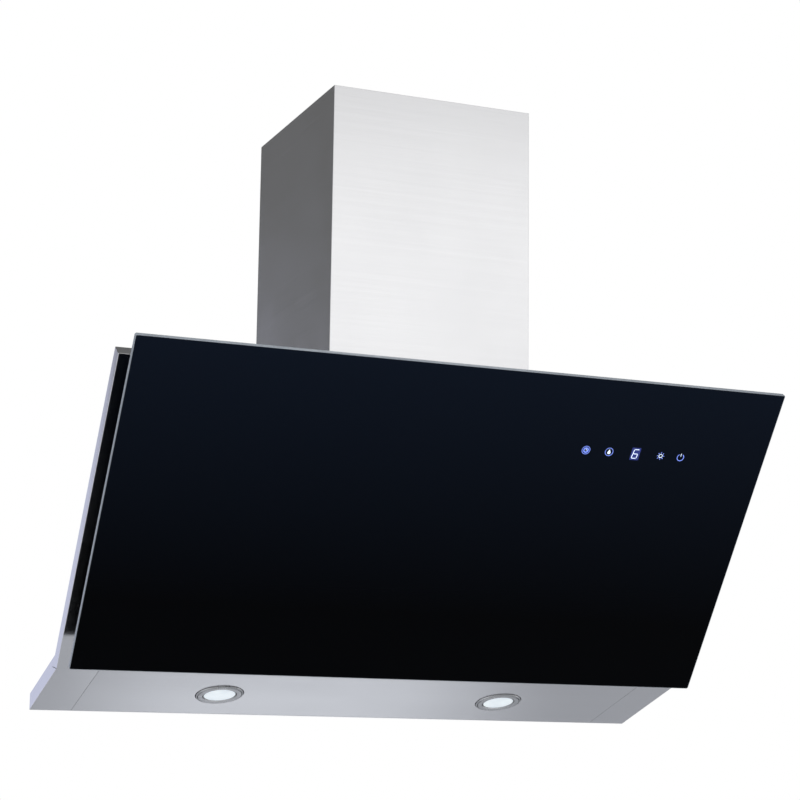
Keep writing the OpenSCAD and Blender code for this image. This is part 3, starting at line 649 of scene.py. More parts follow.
def black_glass(name, colour):
    """Toughened glass painted black behind, with the faintest waviness and wipe marks, and a
    painted reflection: the colour darkens from the paint's navy at the top to near black at the
    bottom.
    """
    finish = Finish(name, IOR=1.52, Specular_IOR_Level=0.035)
    low, high = local_box("glass_panel", SLOPE)
    height = finish.stretched((1.0, 1.0, high.z - low.z), (TILT, 0, 0), BEND)
    parts = add(finish.tree, "ShaderNodeSeparateXYZ")
    finish.tree.links.new(height, parts.inputs["Vector"])
    # Painted reflection: full paint colour near the top of the pane, fading to near black towards
    # the bottom.
    painted_reflection = spread(finish.tree, parts.outputs["Z"], 0.28, 1.05)
    wiped = finish.effect("patches", finish.stretched((0.5, 0.3, 0.3)), Scale=4.0)
    finish.link(finish.blended(painted_reflection, shade(colour, 0.06), colour), "Base Color")
    finish.roughness(wiped, 0.015, 0.05)
    wave = noise(finish.tree, finish.vector, 7.0, 1.0)
    finish.shaped((wave, 0.03, 0.0020))
    return finish.material


def ground_edge(name):
    """Ground edge of the glass, bluish grey with fine grinding lines."""
    finish = Finish(name, IOR=1.52, Specular_IOR_Level=0.3)
    lines = finish.effect("lines", finish.stretched((0.05, 0.05, 0.0008), (TILT, 0, 0)))
    chips = finish.effect("patches", Scale=260.0)
    finish.link(finish.blended(lines, (0.18, 0.20, 0.225), (0.30, 0.33, 0.36)), "Base Color")
    finish.roughness(chips, 0.18, 0.34)
    finish.shaped((lines, 0.05, 0.0001))
    return finish.material


def powder_coat(name, colour):
    """Powder coating with its soft orange peel."""
    finish = Finish(name, Coat_Weight=0.15, Coat_Roughness=0.3)
    peel = noise(finish.tree, finish.vector, 700.0, 2.0)
    dust = finish.effect("dust", Amount=0.2)
    worn = finish.effect("wear", Amount=0.15)
    base = finish.blended(worn, colour, shade(colour, 4.0))
    finish.link(finish.blended(dust, base, (0.30, 0.29, 0.27)), "Base Color")
    finish.roughness(peel, 0.36, 0.50, 0.3, 0.7)
    finish.shaped((peel, 0.15, 0.0003))
    return finish.material


def moulded_plastic(name, colour, rough=0.42, grain=900.0, wear=0.18):
    """Injection moulded plastic with mould grain, lighter worn edges and dust."""
    finish = Finish(name)
    height = finish.effect("grain", Scale=grain)
    tone = finish.effect("patches", Scale=25.0)
    worn = finish.effect("wear", Amount=wear)
    dust = finish.effect("dust", Amount=0.22)
    base = finish.blended(tone, shade(colour, 0.88), shade(colour, 1.10))
    base = finish.blended(worn, base, shade(colour, 1.8))
    finish.link(finish.blended(dust, base, (0.38, 0.36, 0.33)), "Base Color")
    finish.roughness(height, rough - 0.06, rough + 0.08)
    finish.shaped((height, 0.12, 0.0002))
    return finish.material


def circuit_board(name):
    """Green solder mask over copper tracks and pads."""
    finish = Finish(name, Coat_Weight=0.4, Coat_Roughness=0.15)
    tracks = finish.texture(
        "ShaderNodeTexBrick",
        {"Scale": 260.0, "Mortar Size": 0.09, "Brick Width": 0.9, "Row Height": 0.35},
        finish.stretched((1.0, 1.0, 1.0), (math.radians(90), 0, 0)),
        offset=0.37,
        squash=0.6,
        squash_frequency=3,
    )
    pads = finish.texture("ShaderNodeTexVoronoi", {"Scale": 210.0, "Randomness": 0.55})
    dots = spread(finish.tree, pads.outputs["Distance"], 0.10, 0.16, 1.0, 0.0)
    base = finish.blended(tracks.outputs["Fac"], (0.010, 0.085, 0.035), (0.020, 0.16, 0.06))
    finish.link(finish.blended(dots, base, (0.55, 0.50, 0.42)), "Base Color")
    finish.roughness(dots, 0.34, 0.24)
    finish.shaped((tracks.outputs["Fac"], 0.15, 0.0001))
    return finish.material


def glowing(name, colour, strength):
    """A lit surface, slightly uneven."""
    finish = Finish(name, Roughness=0.35, Emission_Strength=strength)
    uneven = finish.effect("patches", Scale=90.0)
    finish.link(finish.blended(uneven, shade(colour, 0.75), colour), "Emission Color")
    finish.link(finish.blended(uneven, shade(colour, 0.5), shade(colour, 0.7)), "Base Color")
    return finish.material


def frosted_lens(name, colour, strength):
    """Frosted lamp lens with small moulded prisms and slightly uneven light."""
    finish = Finish(name, IOR=1.49, Coat_Weight=0.3, Coat_Roughness=0.2, Emission_Strength=strength)
    prisms = finish.effect("grain", Scale=520.0)
    clouds = finish.effect("patches", Scale=45.0)
    finish.link(finish.blended(clouds, shade(colour, 0.84), shade(colour, 1.05)), "Emission Color")
    finish.link(finish.blended(prisms, shade(colour, 0.45), shade(colour, 0.6)), "Base Color")
    finish.roughness(prisms, 0.30, 0.48)
    finish.shaped((prisms, 0.2, 0.0003))
    return finish.material


def turned_steel(name, colour, rough):
    """Turned or plated steel with faint tool marks and dull patches."""
    finish = Finish(name, Metallic=1.0)
    marks = finish.effect("lines", finish.stretched((0.006, 0.006, 0.0006)))
    dull = finish.effect("patches", Scale=120.0)
    worn = finish.effect("wear", Amount=0.2)
    base = finish.blended(marks, shade(colour, 0.92), shade(colour, 1.06))
    finish.link(finish.blended(worn, base, shade(colour, 1.2)), "Base Color")
    finish.roughness(dull, rough - 0.06, rough + 0.10)
    finish.shaped((marks, 0.015, 0.0001))
    return finish.material


def copper_windings(name):
    """Enamelled wire laid side by side, with painted shade darkening the creases between
    neighbouring wires.
    """
    finish = Finish(name, Metallic=0.85, Coat_Weight=0.5, Coat_Roughness=0.2)
    wires = finish.texture(
        "ShaderNodeTexWave",
        {"Scale": 420.0, "Distortion": 1.4, "Detail": 1.0},
        bands_direction="X",
    ).outputs["Fac"]
    # Painted shade: dark in the creases between wires, copper colour on the wires themselves.
    finish.link(finish.blended(wires, (0.20, 0.055, 0.018), (0.72, 0.30, 0.11)), "Base Color")
    finish.roughness(wires, 0.5, 0.28)
    finish.shaped((wires, 0.5, 0.0003))
    return finish.material


def moulded_rubber(name):
    """Matt black rubber with a faint bloom."""
    finish = Finish(name)
    bloom = finish.effect("patches", Scale=60.0)
    height = finish.effect("grain", Scale=1400.0)
    finish.link(finish.blended(bloom, (0.014, 0.014, 0.015), (0.040, 0.040, 0.042)), "Base Color")
    finish.roughness(bloom, 0.62, 0.80)
    finish.shaped((height, 0.2, 0.0002))
    return finish.material


FINISHES = {}


def make_finishes(colours):
    """Builds every finish from the chosen colours."""
    steel = tuple(colours.steel)
    FINISHES.update(
        body_steel=brushed_steel("brushed_steel_body", steel, (TILT, 0, 0), 0.15),
        cover_steel=brushed_steel("brushed_steel_chimney", steel, (0, 0, 0), 0.21),
        galvanised=galvanised_sheet("galvanised_sheet", tuple(colours.zinc)),
        aluminium=plain_aluminium("pressed_aluminium", (0.68, 0.69, 0.71)),
        glass=black_glass("black_backed_glass", tuple(colours.glass)),
        glass_edge=ground_edge("ground_glass_edge"),
        frame_paint=powder_coat("black_powder_coat", (0.022, 0.022, 0.024)),
        dark_plastic=moulded_plastic("dark_moulding", tuple(colours.plastic)),
        fan_plastic=moulded_plastic("fan_moulding", (0.060, 0.062, 0.066), 0.40, 500.0),
        pale_plastic=moulded_plastic("pale_moulding", (0.74, 0.74, 0.71), 0.40, 800.0, 0.0),
        board=circuit_board("green_circuit_board"),
        display=glowing("display_field", (0.014, 0.028, 0.20), 0.6),
        sign=glowing("lit_sign", tuple(colours.glow), 0.9),
        mark=glowing("lit_mark", (0.75, 0.86, 1.0), 1.1),
        digit=glowing("lit_digit", (0.72, 0.82, 1.0), 1.1),
        lens=frosted_lens("frosted_lens", tuple(colours.lamp), 0.62),
        emitter=glowing("light_emitter", (1.0, 0.95, 0.72), 3.0),
        lamp_metal=turned_steel("turned_lamp_ring", (0.50, 0.505, 0.51), 0.28),
        bright_steel=turned_steel("plated_steel", (0.64, 0.65, 0.67), 0.20),
        copper=copper_windings("copper_windings"),
        rubber=moulded_rubber("black_rubber"),
        # Black rubber used as painted shade, in the mitre lines and the lamp rings' grooves.
        seam=moulded_rubber("seam_shadow"),
    )


# ---------- steel body and chimney ----------

# Depth of the body's folded edge, and how near a corner must be to lie on a face.
FOLD_DEPTH = 20 * MM
NEAR = 0.05 * MM


class HOOD_OT_body(bpy.types.Operator):
    """Folded steel body, the plate that carries the lamps, and the mitre seams at the sides, drawn
    as dark strips of painted shade
    """

    bl_idname = "hood.body"
    bl_label = "Steel Body"

    def execute(self, context):
        sizes = context.scene.hood_sheet
        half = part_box("body_shell")[1].x
        top = local_box("body_shell", SLOPE)[1].z
        to_slope, to_wing = SLOPE.inverted(), WING.inverted()

        def marks(vertex):
            """The outer faces and rims that a corner of the body lies on."""
            slope, wing = to_slope @ vertex.co, to_wing @ vertex.co
            found = {
                "skin": slope.y < NEAR or wing.z < NEAR,
                "side": half - abs(vertex.co.x) < NEAR,
                "bend": slope.y < NEAR and slope.z < NEAR,
                "top": slope.z > top - NEAR,
                "rear": vertex.co.y > -NEAR and wing.z < NEAR,
            }
            return {name for name, held in found.items() if held}

        def on_fold(link):
            """Whether an edge is one of the body's outer folds."""
            shared = marks(link.verts[0]) & marks(link.verts[1])
            on_skin = "skin" in shared and bool(shared & {"side", "bend", "top", "rear"})
            return on_skin or {"side", "top"} <= shared

        rounded_node("body_shell", "folded_body", HOOD, "stainless", sizes.cut_edge, 1,
                     "body_steel", on_fold, sizes.fold_radius)
        rounded_node("lamp_panel", "lamp_plate", HOOD, "stainless", 0.35 * MM, 2, "body_steel")
        self.seam_shades(sizes.seam, half)
        rounded_node("filter_seat", "pressed_filter_seat", HOOD, "galvanised", 0.25 * MM)
        rounded_node("panel_clips", "panel_springs", HOOD, "bright_steel", 0.2 * MM, 1)
        return {"FINISHED"}

    def seam_shades(self, width, half):
        """Fine dark lines of painted shade where the side folds of front face and wing meet,
        standing for the shaded mitre gap.
        """
        bisector = (TILT - WING_TILT) / 2
        length = FOLD_DEPTH / math.cos(math.radians(90) / 2 - bisector / 2)
        bm = bmesh.new()
        for side in (-1, 1):
            inner, outer = sorted((side * (half - 0.3 * MM), side * (half + 0.04 * MM)))
            block(bm, (inner, 0.6 * MM, -width / 2), (outer, length, width / 2), 0.02 * MM, 1)
        lean = Matrix.Translation(BEND) @ Matrix.Rotation((TILT + WING_TILT) / 2, 4, "X")
        finish_piece("mitre_seam_shades", bm, HOOD, "stainless", "seam", matrix=lean)


class HOOD_OT_chimney(bpy.types.Operator):
    """Lower and upper chimney covers with their guides, bracket and screws"""

    bl_idname = "hood.chimney"
    bl_label = "Chimney Covers"

    def execute(self, context):
        sizes = context.scene.hood_sheet
        for node, name, body in (
            ("lower_chimney", "outer_cover", HOOD),
            ("upper_chimney", "inner_cover", "upper_chimney"),
        ):
            low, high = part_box(node)

            def on_corner(link, low=low, high=high):
                """Whether an edge is an upright front corner of the cover."""
                ends = [vertex.co for vertex in link.verts]
                return all(high.x - abs(end.x) < NEAR and end.y - low.y < NEAR for end in ends)

            rounded_node(node, name, body, "stainless", sizes.cut_edge, 1,
                         "cover_steel", on_corner, sizes.cover_radius)
        rounded_node("chimney_guides", "guide_strips", HOOD, "pale_plastic", 0.3 * MM, 1)
        rounded_node("upper_bracket", "wall_bracket", "upper_chimney", "galvanised", 0.25 * MM, 1)
        rounded_node("bracket_screws", "bracket_screw_set", "upper_chimney", "bright_steel",
                     0.15 * MM, 1)
        return {"FINISHED"}


# ---------- glass front ----------


class HOOD_OT_glass(bpy.types.Operator):
    """Glass panel with ground edges, and the black frame bonded behind it"""

    bl_idname = "hood.glass"
    bl_label = "Glass Front"

    def execute(self, context):
        sizes = context.scene.hood_glass
        low, high = local_box("glass_panel", SLOPE)
        bm = bmesh.new()
        block(bm, low, high)
        through = [
            link for link in bm.edges
            if abs(link.verts[0].co.y - link.verts[1].co.y) > (high.y - low.y) / 2
        ]
        round_edges(bm, through, sizes.corner, 6)
        rims = [link for link in bm.edges if is_sharp(link)]
        round_edges(bm, rims, sizes.arris, 3)
        bm.normal_update()
        for face in bm.faces:
            face.material_index = 0 if abs(face.normal.y) > 0.99 else 1
        finish_piece("glass_pane", bm, DOOR, "black_glass", "glass", "glass_edge",
                     nodes=["glass_panel"], matrix=SLOPE)
        rounded_node("glass_frame", "bonded_frame", DOOR, "frame_paint", 0.4 * MM)
        rounded_node("striker_plates", "strikers", DOOR, "bright_steel", 0.25 * MM)
        return {"FINISHED"}


# Places of the five signs along the row, the row's shift from the middle of the touch housing,
# and the thin layer over the glass in which the signs lie.
SIGN_SPOTS = (-71 * MM, -37 * MM, 2 * MM, 40 * MM, 70 * MM)
SIGN_SHIFT = (-5 * MM, 4 * MM)
SIGN_LOW = 0.01 * MM
SIGN_HIGH = 0.05 * MM


def sign_ring(bm, place, radius, width, start=0.0, turn=math.tau):
    """A flat ring, or a part of one, in the sign plane."""
    with placing(bm, Matrix.Translation((*place, 0))):
        outline = ((radius - width, SIGN_LOW), (radius, SIGN_LOW), (radius, SIGN_HIGH),
                   (radius - width, SIGN_HIGH))
        verts = [bm.verts.new((across, 0, out)) for across, out in outline]
        face = bm.faces.new(verts)
        bmesh.ops.transform(bm, matrix=turn_about_z(start), verts=verts)
        geometry = verts + list(face.edges)
        if turn < math.tau:
            geometry.append(face)
        else:
            bm.faces.remove(face)
        spin(bm, verts, geometry, turn, 48)


def sign_bar(bm, place, length, width, turn=0.0, reach=0.0):
    """A flat bar standing on the point place, turned about it, starting reach away."""
    with placing(bm, Matrix.Translation((*place, 0)) @ turn_about_z(turn)):
        block(bm, (-width / 2, reach, SIGN_LOW), (width / 2, reach + length, SIGN_HIGH))


class HOOD_OT_touch_keys(bpy.types.Operator):
    """Lit touch signs on the glass, the digit between them, and the board behind"""

    bl_idname = "hood.touch_keys"
    bl_label = "Touch Keys"

    def execute(self, context):
        sizes = context.scene.hood_glass
        low, high = local_box("touch_housing", SLOPE)
        front = local_box("glass_panel", SLOPE)[0].y
        across, up = (low.x + high.x) / 2 + SIGN_SHIFT[0], (low.z + high.z) / 2 + SIGN_SHIFT[1]
        place = Matrix.Translation((across, front, up))
        self.face = SLOPE @ place @ Matrix.Rotation(math.radians(90), 4, "X")
        signs = (self.timer_sign, self.air_sign, self.lamp_sign, self.power_sign)
        spots = SIGN_SPOTS[:2] + SIGN_SPOTS[3:]
        for sign, spot in zip(signs, spots):
            rim, mark = bmesh.new(), bmesh.new()
            names = sign(rim, mark, (spot, 0), sizes.sign / 2, sizes.line)
            self.show(names[0], rim, "sign")
            self.show(names[1], mark, "mark")
        self.digit(sizes.line)
        self.backing()
        return {"FINISHED"}

    def show(self, name, bm, finish):
        """Finishes a lit piece in its place on the glass."""
        finish_piece(name, bm, DOOR, "display", finish, matrix=self.face)

    def timer_sign(self, rim, mark, spot, radius, line):
        """A clock: a wide ring with two hands."""
        sign_ring(rim, spot, radius, line)
        sign_ring(rim, spot, radius * 0.66, radius * 0.30)
        sign_bar(mark, spot, radius * 0.42, line * 0.8)
        sign_bar(mark, spot, radius * 0.32, line * 0.8, math.radians(-90))
        return "sign_timer_rim", "sign_timer_hands"

    def air_sign(self, rim, mark, spot, radius, line):
        """A drop in a ring."""
        sign_ring(rim, spot, radius, line)
        belly = radius * 0.38
        drop = [(spot[0], radius * 0.66)]
        for step in range(13):
            angle = math.radians(25 - step * 230 / 12)
            drop.append((spot[0] + belly * math.cos(angle), belly * (math.sin(angle) - 0.45)))
        prism(mark, drop, SIGN_LOW, SIGN_HIGH)
        return "sign_air_rim", "sign_air_drop"

    def lamp_sign(self, rim, mark, spot, radius, line):
        """A small ring with eight rays."""
        for ray in range(8):
            sign_bar(rim, spot, radius * 0.32, line * 1.1, ray * math.tau / 8, radius * 0.60)
        sign_ring(mark, spot, radius * 0.48, line)
        return "sign_lamp_rays", "sign_lamp_disc"

    def power_sign(self, rim, mark, spot, radius, line):
        """A ring open at the top, with a bar in the gap."""
        gap = math.radians(32)
        sign_ring(rim, spot, radius * 0.88, line * 1.2, math.pi / 2 + gap, math.tau - 2 * gap)
        sign_bar(mark, spot, radius * 0.70, line, 0.0, radius * 0.25)
        return "sign_power_rim", "sign_power_bar"

    def digit(self, line):
        """A slanted figure six, made of six bars, on a lit blue field."""
        half_w, half_h, slant = 3.6 * MM, 6.4 * MM, 0.14
        field_w, field_h = 6.5 * MM, 9 * MM
        bar = line * 1.35
        x = SIGN_SPOTS[2]
        field = bmesh.new()
        block(field, (x - field_w, -field_h, SIGN_LOW / 2), (x + field_w, field_h, SIGN_LOW))
        corners = [link for link in field.edges
                   if abs(link.verts[0].co.z - link.verts[1].co.z) > SIGN_LOW / 4]
        round_edges(field, corners, 1.2 * MM, 4)
        self.show("digit_field", field, "display")
        bm = bmesh.new()
        lying = [(-half_w, half_h), (-half_w, 0), (-half_w, -half_h)]
        standing = [(-half_w, 0), (-half_w, -half_h), (half_w, -half_h)]
        for left, height in lying:
            block(bm, (left + bar * 0.4, height - bar / 2, SIGN_LOW),
                  (-left - bar * 0.4, height + bar / 2, SIGN_HIGH))
        for across, foot in standing:
            block(bm, (across - bar / 2, foot + bar * 0.4, SIGN_LOW),
                  (across + bar / 2, foot + half_h - bar * 0.4, SIGN_HIGH))
        lean = Matrix.Identity(4)
        lean[0][1] = slant
        bmesh.ops.transform(bm, matrix=Matrix.Translation((x, 0, 0)) @ lean, verts=bm.verts)
        self.show("digit_six", bm, "digit")

    def backing(self):
        """Housing, board and display behind the glass."""
        rounded_node("touch_housing", "touch_case", DOOR, "dark_plastic", 0.4 * MM)
        dress_node("touch_board", "board")
        dress_node("digit_display", "dark_plastic")


# ---------- lamps ----------

# Outline of a lamp's ring, as (radius, height) in millimetres: from its bore over the face with
# two grooves to the rim, then down the sleeve behind; and the middle radii of the grooves.
RING_FACE = (
    (21.3, 0.4), (21.3, -1.2), (21.6, -1.5), (22.1, -1.5), (22.4, -1.0), (23.2, -1.0),
    (23.6, -2.0), (24.1, -2.2), (26.0, -2.2), (26.2, -1.95), (26.6, -1.95), (26.8, -2.2),
    (29.4, -2.2), (29.7, -1.0), (30.5, -1.0), (30.8, -1.9), (31.4, -2.0), (32.1, -1.5),
)
RING_SLEEVE = ((27.4, 0), (27.4, 14), (25.6, 14), (25.6, 0.4))
RING_GROOVES = (22.8, 30.1)
# The light emitters: their number, their distance from the lamp's middle, and half the outline
# of one, as (radius, height) in millimetres.
EMITTERS = 6
EMITTER_REACH = 12 * MM
EMITTER_DOME = ((0, 6.9), (1.2, 7.1), (2.0, 7.6), (2.4, 8.0), (0, 8.0))


def lamp_places():
    """Frames of the two lamps, z up through the wing, and the outer radius of their rings."""
    low, high = local_box("lamp_rings", WING)
    radius = (high.y - low.y) / 2
    along = (low.y + high.y) / 2
    across = high.x - radius
    places = [WING @ Matrix.Translation((side * across, along, 0)) for side in (-1, 1)]
    return zip(("left", "right"), places), radius


class HOOD_OT_lamps(bpy.types.Operator):
    """Turned rings, frosted lenses, light boards and cooling bodies of the two lamps"""

    bl_idname = "hood.lamps"
    bl_label = "Lamps"

    def execute(self, context):
        places, radius = lamp_places()
        for label, place in places:
            self.shade_gasket(label, place, radius)
            self.ring(label, place, radius)
            self.lens(label, place)
            self.emitters(label, place)
        rounded_node("lamp_bodies", "cooling_bodies", HOOD, "aluminium", 0.25 * MM)
        return {"FINISHED"}

    def shade_gasket(self, label, place, radius):
        """A thin dark rubber gasket round the ring, put there as painted shade to draw the ring's
        contact shadow on the plate.
        """
        outline = ((-1.5, 0), (1.0, 0), (0.9, -0.12), (-1.5, -0.12))
        bm = bmesh.new()
        turned(bm, [(radius + out * MM, up * MM) for out, up in outline], place, 96)
        finish_piece(f"lamp_shade_gasket_{label}", bm, HOOD, "rubber", "rubber")

    def ring(self, label, place, radius):
        """A turned ring with two grooves in its face, their faces dark as painted shade, and the
        sleeve behind it.
        """
        outline = [(across * MM, height * MM) for across, height in RING_FACE]
        outline.append((radius, 0))
        outline += [(across * MM, height * MM) for across, height in RING_SLEEVE]
        bm = bmesh.new()
        turned(bm, outline, None, 96)
        # Painted shade: the groove faces in front take the dark second finish.
        for face in bm.faces:
            middle = face.calc_center_median()
            across = math.hypot(middle.x, middle.y)
            grooved = min(abs(across - groove * MM) for groove in RING_GROOVES) < 0.5 * MM
            face.material_index = 1 if grooved and middle.z < 0 else 0
        finish_piece(f"lamp_ring_{label}", bm, HOOD, "lamp_metal", "lamp_metal", "seam",
                     nodes=["lamp_rings"], matrix=place, smooth=28)

    def lens(self, label, place):
        """A shallow domed lens with moulded ripples."""
        rim, crown, edge = 21 * MM, 2.4 * MM, 1.2 * MM
        outline = [(0, 2 * MM)]
        steps = 21
        for step in range(steps + 1):
            across = rim * step / steps
            ripple = 0.10 * MM * (step % 3 == 1)
            outline.append((across, -crown + (crown - edge) * (across / rim) ** 2 + ripple))
        outline += [(rim, 0.5 * MM), (25.2 * MM, 0.5 * MM), (25.2 * MM, 2 * MM)]
        bm = bmesh.new()
        turned(bm, outline, place, 72)
        finish_piece(f"lamp_lens_{label}", bm, HOOD, "lens", "lens", nodes=["lamp_lenses"],
                     smooth=50)

    def emitters(self, label, place):
        """The board behind the lens and its six light emitters."""
        board = bmesh.new()
        rod(board, 25.4 * MM, 8.0 * MM, 9.6 * MM, place, 0.2 * MM, 48)
        rod(board, 8.0 * MM, 9.5 * MM, 13.9 * MM, place, 0.3 * MM, 32)
        finish_piece(f"light_board_{label}", board, HOOD, "pale_plastic", "pale_plastic",
                     nodes=["led_boards"])
        bm = bmesh.new()
        for turn in range(EMITTERS):
            turned_place = place @ turn_about_z(turn * math.tau / EMITTERS)
            outline = [(across * MM, height * MM) for across, height in EMITTER_DOME]
            turned(bm, outline, turned_place @ Matrix.Translation((EMITTER_REACH, 0, 0)), 20,
                   closed=False)
        finish_piece(f"light_emitters_{label}", bm, HOOD, "lens", "emitter")


# ---------- grease filters ----------


def expanded_sheet(bm, low, high, depth, sizes, flip):
    """One layer of slit and stretched sheet: a lattice of diamonds clipped to a rectangle."""
    layer = bmesh.new()
    width, height = high[0] - low[0], high[1] - low[1]
    count = int(max(width / sizes.cell_w, height / sizes.cell_h)) + 4
    bmesh.ops.create_grid(layer, x_segments=2 * count, y_segments=2 * count, size=count)
    cell = (sizes.cell_h, sizes.cell_w) if flip else (sizes.cell_w, sizes.cell_h)
    stretch = Matrix.Diagonal((cell[0] / math.sqrt(2), cell[1] / math.sqrt(2), 1, 1))
    bmesh.ops.transform(layer, matrix=stretch @ turn_about_z(math.pi / 4), verts=layer.verts)
    for axis, limit in ((0, width / 2), (1, height / 2)):
        for side in (-1, 1):
            normal = Vector((0, 0, 0))
            normal[axis] = side
            bmesh.ops.bisect_plane(
                layer,
                geom=layer.verts[:] + layer.edges[:] + layer.faces[:],
                dist=1e-6,
                plane_co=normal * limit,
                plane_no=normal,
                clear_outer=True,
            )
    bmesh.ops.wireframe(layer, faces=layer.faces[:], thickness=sizes.strand, use_replace=True,
                        use_boundary=True, use_even_offset=True)
    middle = Vector(((low[0] + high[0]) / 2, depth, (low[1] + high[1]) / 2))
    turn = Matrix.Translation(middle) @ Matrix.Rotation(math.pi / 2, 4, "X")
    bmesh.ops.transform(layer, matrix=turn, verts=layer.verts)
    held = bpy.data.meshes.new("layer")
    layer.to_mesh(held)
    layer.free()
    bm.from_mesh(held)
    bpy.data.meshes.remove(held)


class HOOD_OT_filters(bpy.types.Operator):
    """Grease filters: aluminium frames, layers of expanded mesh, and sliding latches"""

    bl_idname = "hood.filters"
    bl_label = "Grease Filters"

    def execute(self, context):
        sizes = context.scene.hood_mesh
        mesh_low, mesh_high = local_box("filter_meshes", SLOPE)
        inset = local_box("filter_frame_right", SLOPE)[1].x - mesh_high.x
        room = (mesh_high.y - mesh_low.y) / (sizes.layers + 1)
        for label in ("left", "right"):
            node = f"filter_frame_{label}"
            low, high = local_box(node, SLOPE)
            rounded_node(node, f"filter_rim_{label}", HOOD, "aluminium", 0.5 * MM)
            bm = bmesh.new()
            for layer in range(sizes.layers):
                expanded_sheet(bm, (low.x + inset, mesh_low.z), (high.x - inset, mesh_high.z),
                               mesh_low.y + room * (layer + 1), sizes, layer % 2 == 1)
            finish_piece(f"filter_mesh_{label}", bm, HOOD, "aluminium", "aluminium",
                         nodes=["filter_meshes"], matrix=SLOPE)
            rounded_node(f"filter_latch_{label}", f"latch_slider_{label}", f"latch_{label}",
                         "dark_plastic", 0.4 * MM)
        return {"FINISHED"}


# ---------- motor box and duct outlet ----------


class HOOD_OT_motor_box(bpy.types.Operator):
    """Galvanised sheets of the motor box"""

    bl_idname = "hood.motor_box"
    bl_label = "Motor Box"

    def execute(self, context):
        for part in ("back", "top", "floor", "side_left", "side_right"):
            rounded_node(f"motor_box_{part}", f"box_sheet_{part}", HOOD, "galvanised", 0.2 * MM, 1)
        return {"FINISHED"}


class HOOD_OT_outlet(bpy.types.Operator):
    """Duct collar with its two flaps and pins, and the cable gland"""

    bl_idname = "hood.outlet"
    bl_label = "Duct Outlet"

    def execute(self, context):
        rounded_node("outlet_collar", "duct_collar", HOOD, "dark_plastic", 0.3 * MM)
        for label in ("front", "back"):
            rounded_node(f"flap_{label}", f"air_flap_{label}", f"flap_{label}", "dark_plastic",
                         0.25 * MM, 2, "fan_plastic")
        dress_node("flap_pins", "bright_steel")
        rounded_node("cable_gland", "threaded_gland", HOOD, "dark_plastic", 0.4 * MM)
        return {"FINISHED"}


# ---------- blower ----------

# Blades in each half of the wheel, the steps of their curve, and how far their outer edges lead.
BLADES = 28
BLADE_STEPS = 6
BLADE_LEAD = 0.16


class HOOD_OT_blower(bpy.types.Operator):
    """Scroll housing, fan wheel with curved blades, and the motor inside it"""

    bl_idname = "hood.blower"
    bl_label = "Blower"

    def execute(self, context):
        rounded_nodes(HOOD, (
            ("scroll_left", "scroll_half_left", "fan_plastic", 0.4),
            ("scroll_right", "scroll_half_right", "fan_plastic", 0.4),
        ))
        self.wheel()
        rounded_nodes(HOOD, (
            ("motor_shell_front", "motor_cup_front", "galvanised", 0.4),
            ("motor_shell_rear", "motor_cup_rear", "galvanised", 0.4),
            ("motor_bracket", "motor_spider", "galvanised", 0.3),
            ("motor_grommets", "soft_grommets", "rubber", 0.5),
            ("motor_bearings", "shaft_bearings", "bright_steel", 0.3),
            ("stator", "wound_stator", "copper", 0.8),
        ))
        rounded_nodes("impeller", (
            ("motor_shaft", "ground_shaft", "bright_steel", 0.5),
            ("rotor", "cast_rotor", "galvanised", 0.4),
        ))
        return {"FINISHED"}

    def wheel(self):
        """Two rings of forward-curved blades either side of a ribbed disc."""
        low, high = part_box("impeller")
        place = Matrix.Translation((low + high) / 2) @ Matrix.Rotation(math.pi / 2, 4, "Y")
        half, outer = (high.x - low.x) / 2, (high.z - low.z) / 2
        inner, hub, bore, wall = 60 * MM, 10 * MM, 4 * MM, 1 * MM
        bm = bmesh.new()
        turned(bm, [(hub - wall, -wall), (outer - wall, -wall), (outer - wall, wall),
                    (hub - wall, wall)])
        turned(bm, [(bore, -12 * MM), (hub - 0.5 * MM, -12 * MM), (hub, -11.5 * MM),
                    (hub, 10.5 * MM), (hub - 0.5 * MM, 11 * MM), (bore, 11 * MM)])
        for side in (-1, 1):
            near, far = sorted((side * (half - 2 * MM), side * half))
            turned(bm, [(inner, near), (outer, near), (outer, far), (inner, far)])
        for rib in range(8):
            with placing(bm, turn_about_z(rib * math.tau / 8)):
                block(bm, (hub, -0.8 * MM, wall), (inner - 4 * MM, 0.8 * MM, 2.6 * MM), 0.3 * MM)
        self.blades(bm, inner + 0.5 * MM, outer - 0.5 * MM, half - 1.5 * MM, wall)
        finish_piece("fan_wheel", bm, "impeller", "fan_plastic", "fan_plastic",
                     nodes=["impeller"], matrix=place)

    def blades(self, bm, inner, outer, reach, wall):
        """Forward-curved blades in both halves of the wheel."""
        line = []
        for step in range(BLADE_STEPS + 1):
            part = step / BLADE_STEPS
            line.append((inner + (outer - inner) * part, BLADE_LEAD * part ** 2))
        near = [(r * math.cos(a), r * math.sin(a)) for r, a in line]
        far = [(r * math.cos(a + wall / r), r * math.sin(a + wall / r)) for r, a in reversed(line)]
        for side in (-1, 1):
            ends = sorted((0.0, side * reach))
            for blade in range(BLADES):
                with placing(bm, turn_about_z(blade * math.tau / BLADES)):
                    prism(bm, near + far, *ends)


# ---------- electrics ----------


class HOOD_OT_electrics(bpy.types.Operator):
    """Control box with its lid and board, terminals, lamp supply, capacitor and leads"""

    bl_idname = "hood.electrics"
    bl_label = "Electrics"

    def execute(self, context):
        rounded_nodes(HOOD, (
            ("control_box", "control_case", "dark_plastic", 0.5),
            ("control_lid", "vented_lid", "dark_plastic", 0.5),
            ("terminal_block", "lead_terminals", "pale_plastic", 0.4),
            ("lamp_driver", "lamp_supply", "pale_plastic", 0.8),
            ("capacitor", "run_capacitor", "pale_plastic", 0.6),
            ("main_board", "relay_board", "board", 0.3),
        ))
        dress_node("wiring", "rubber")
        return {"FINISHED"}


# ---------- hinges, catches and fasteners ----------


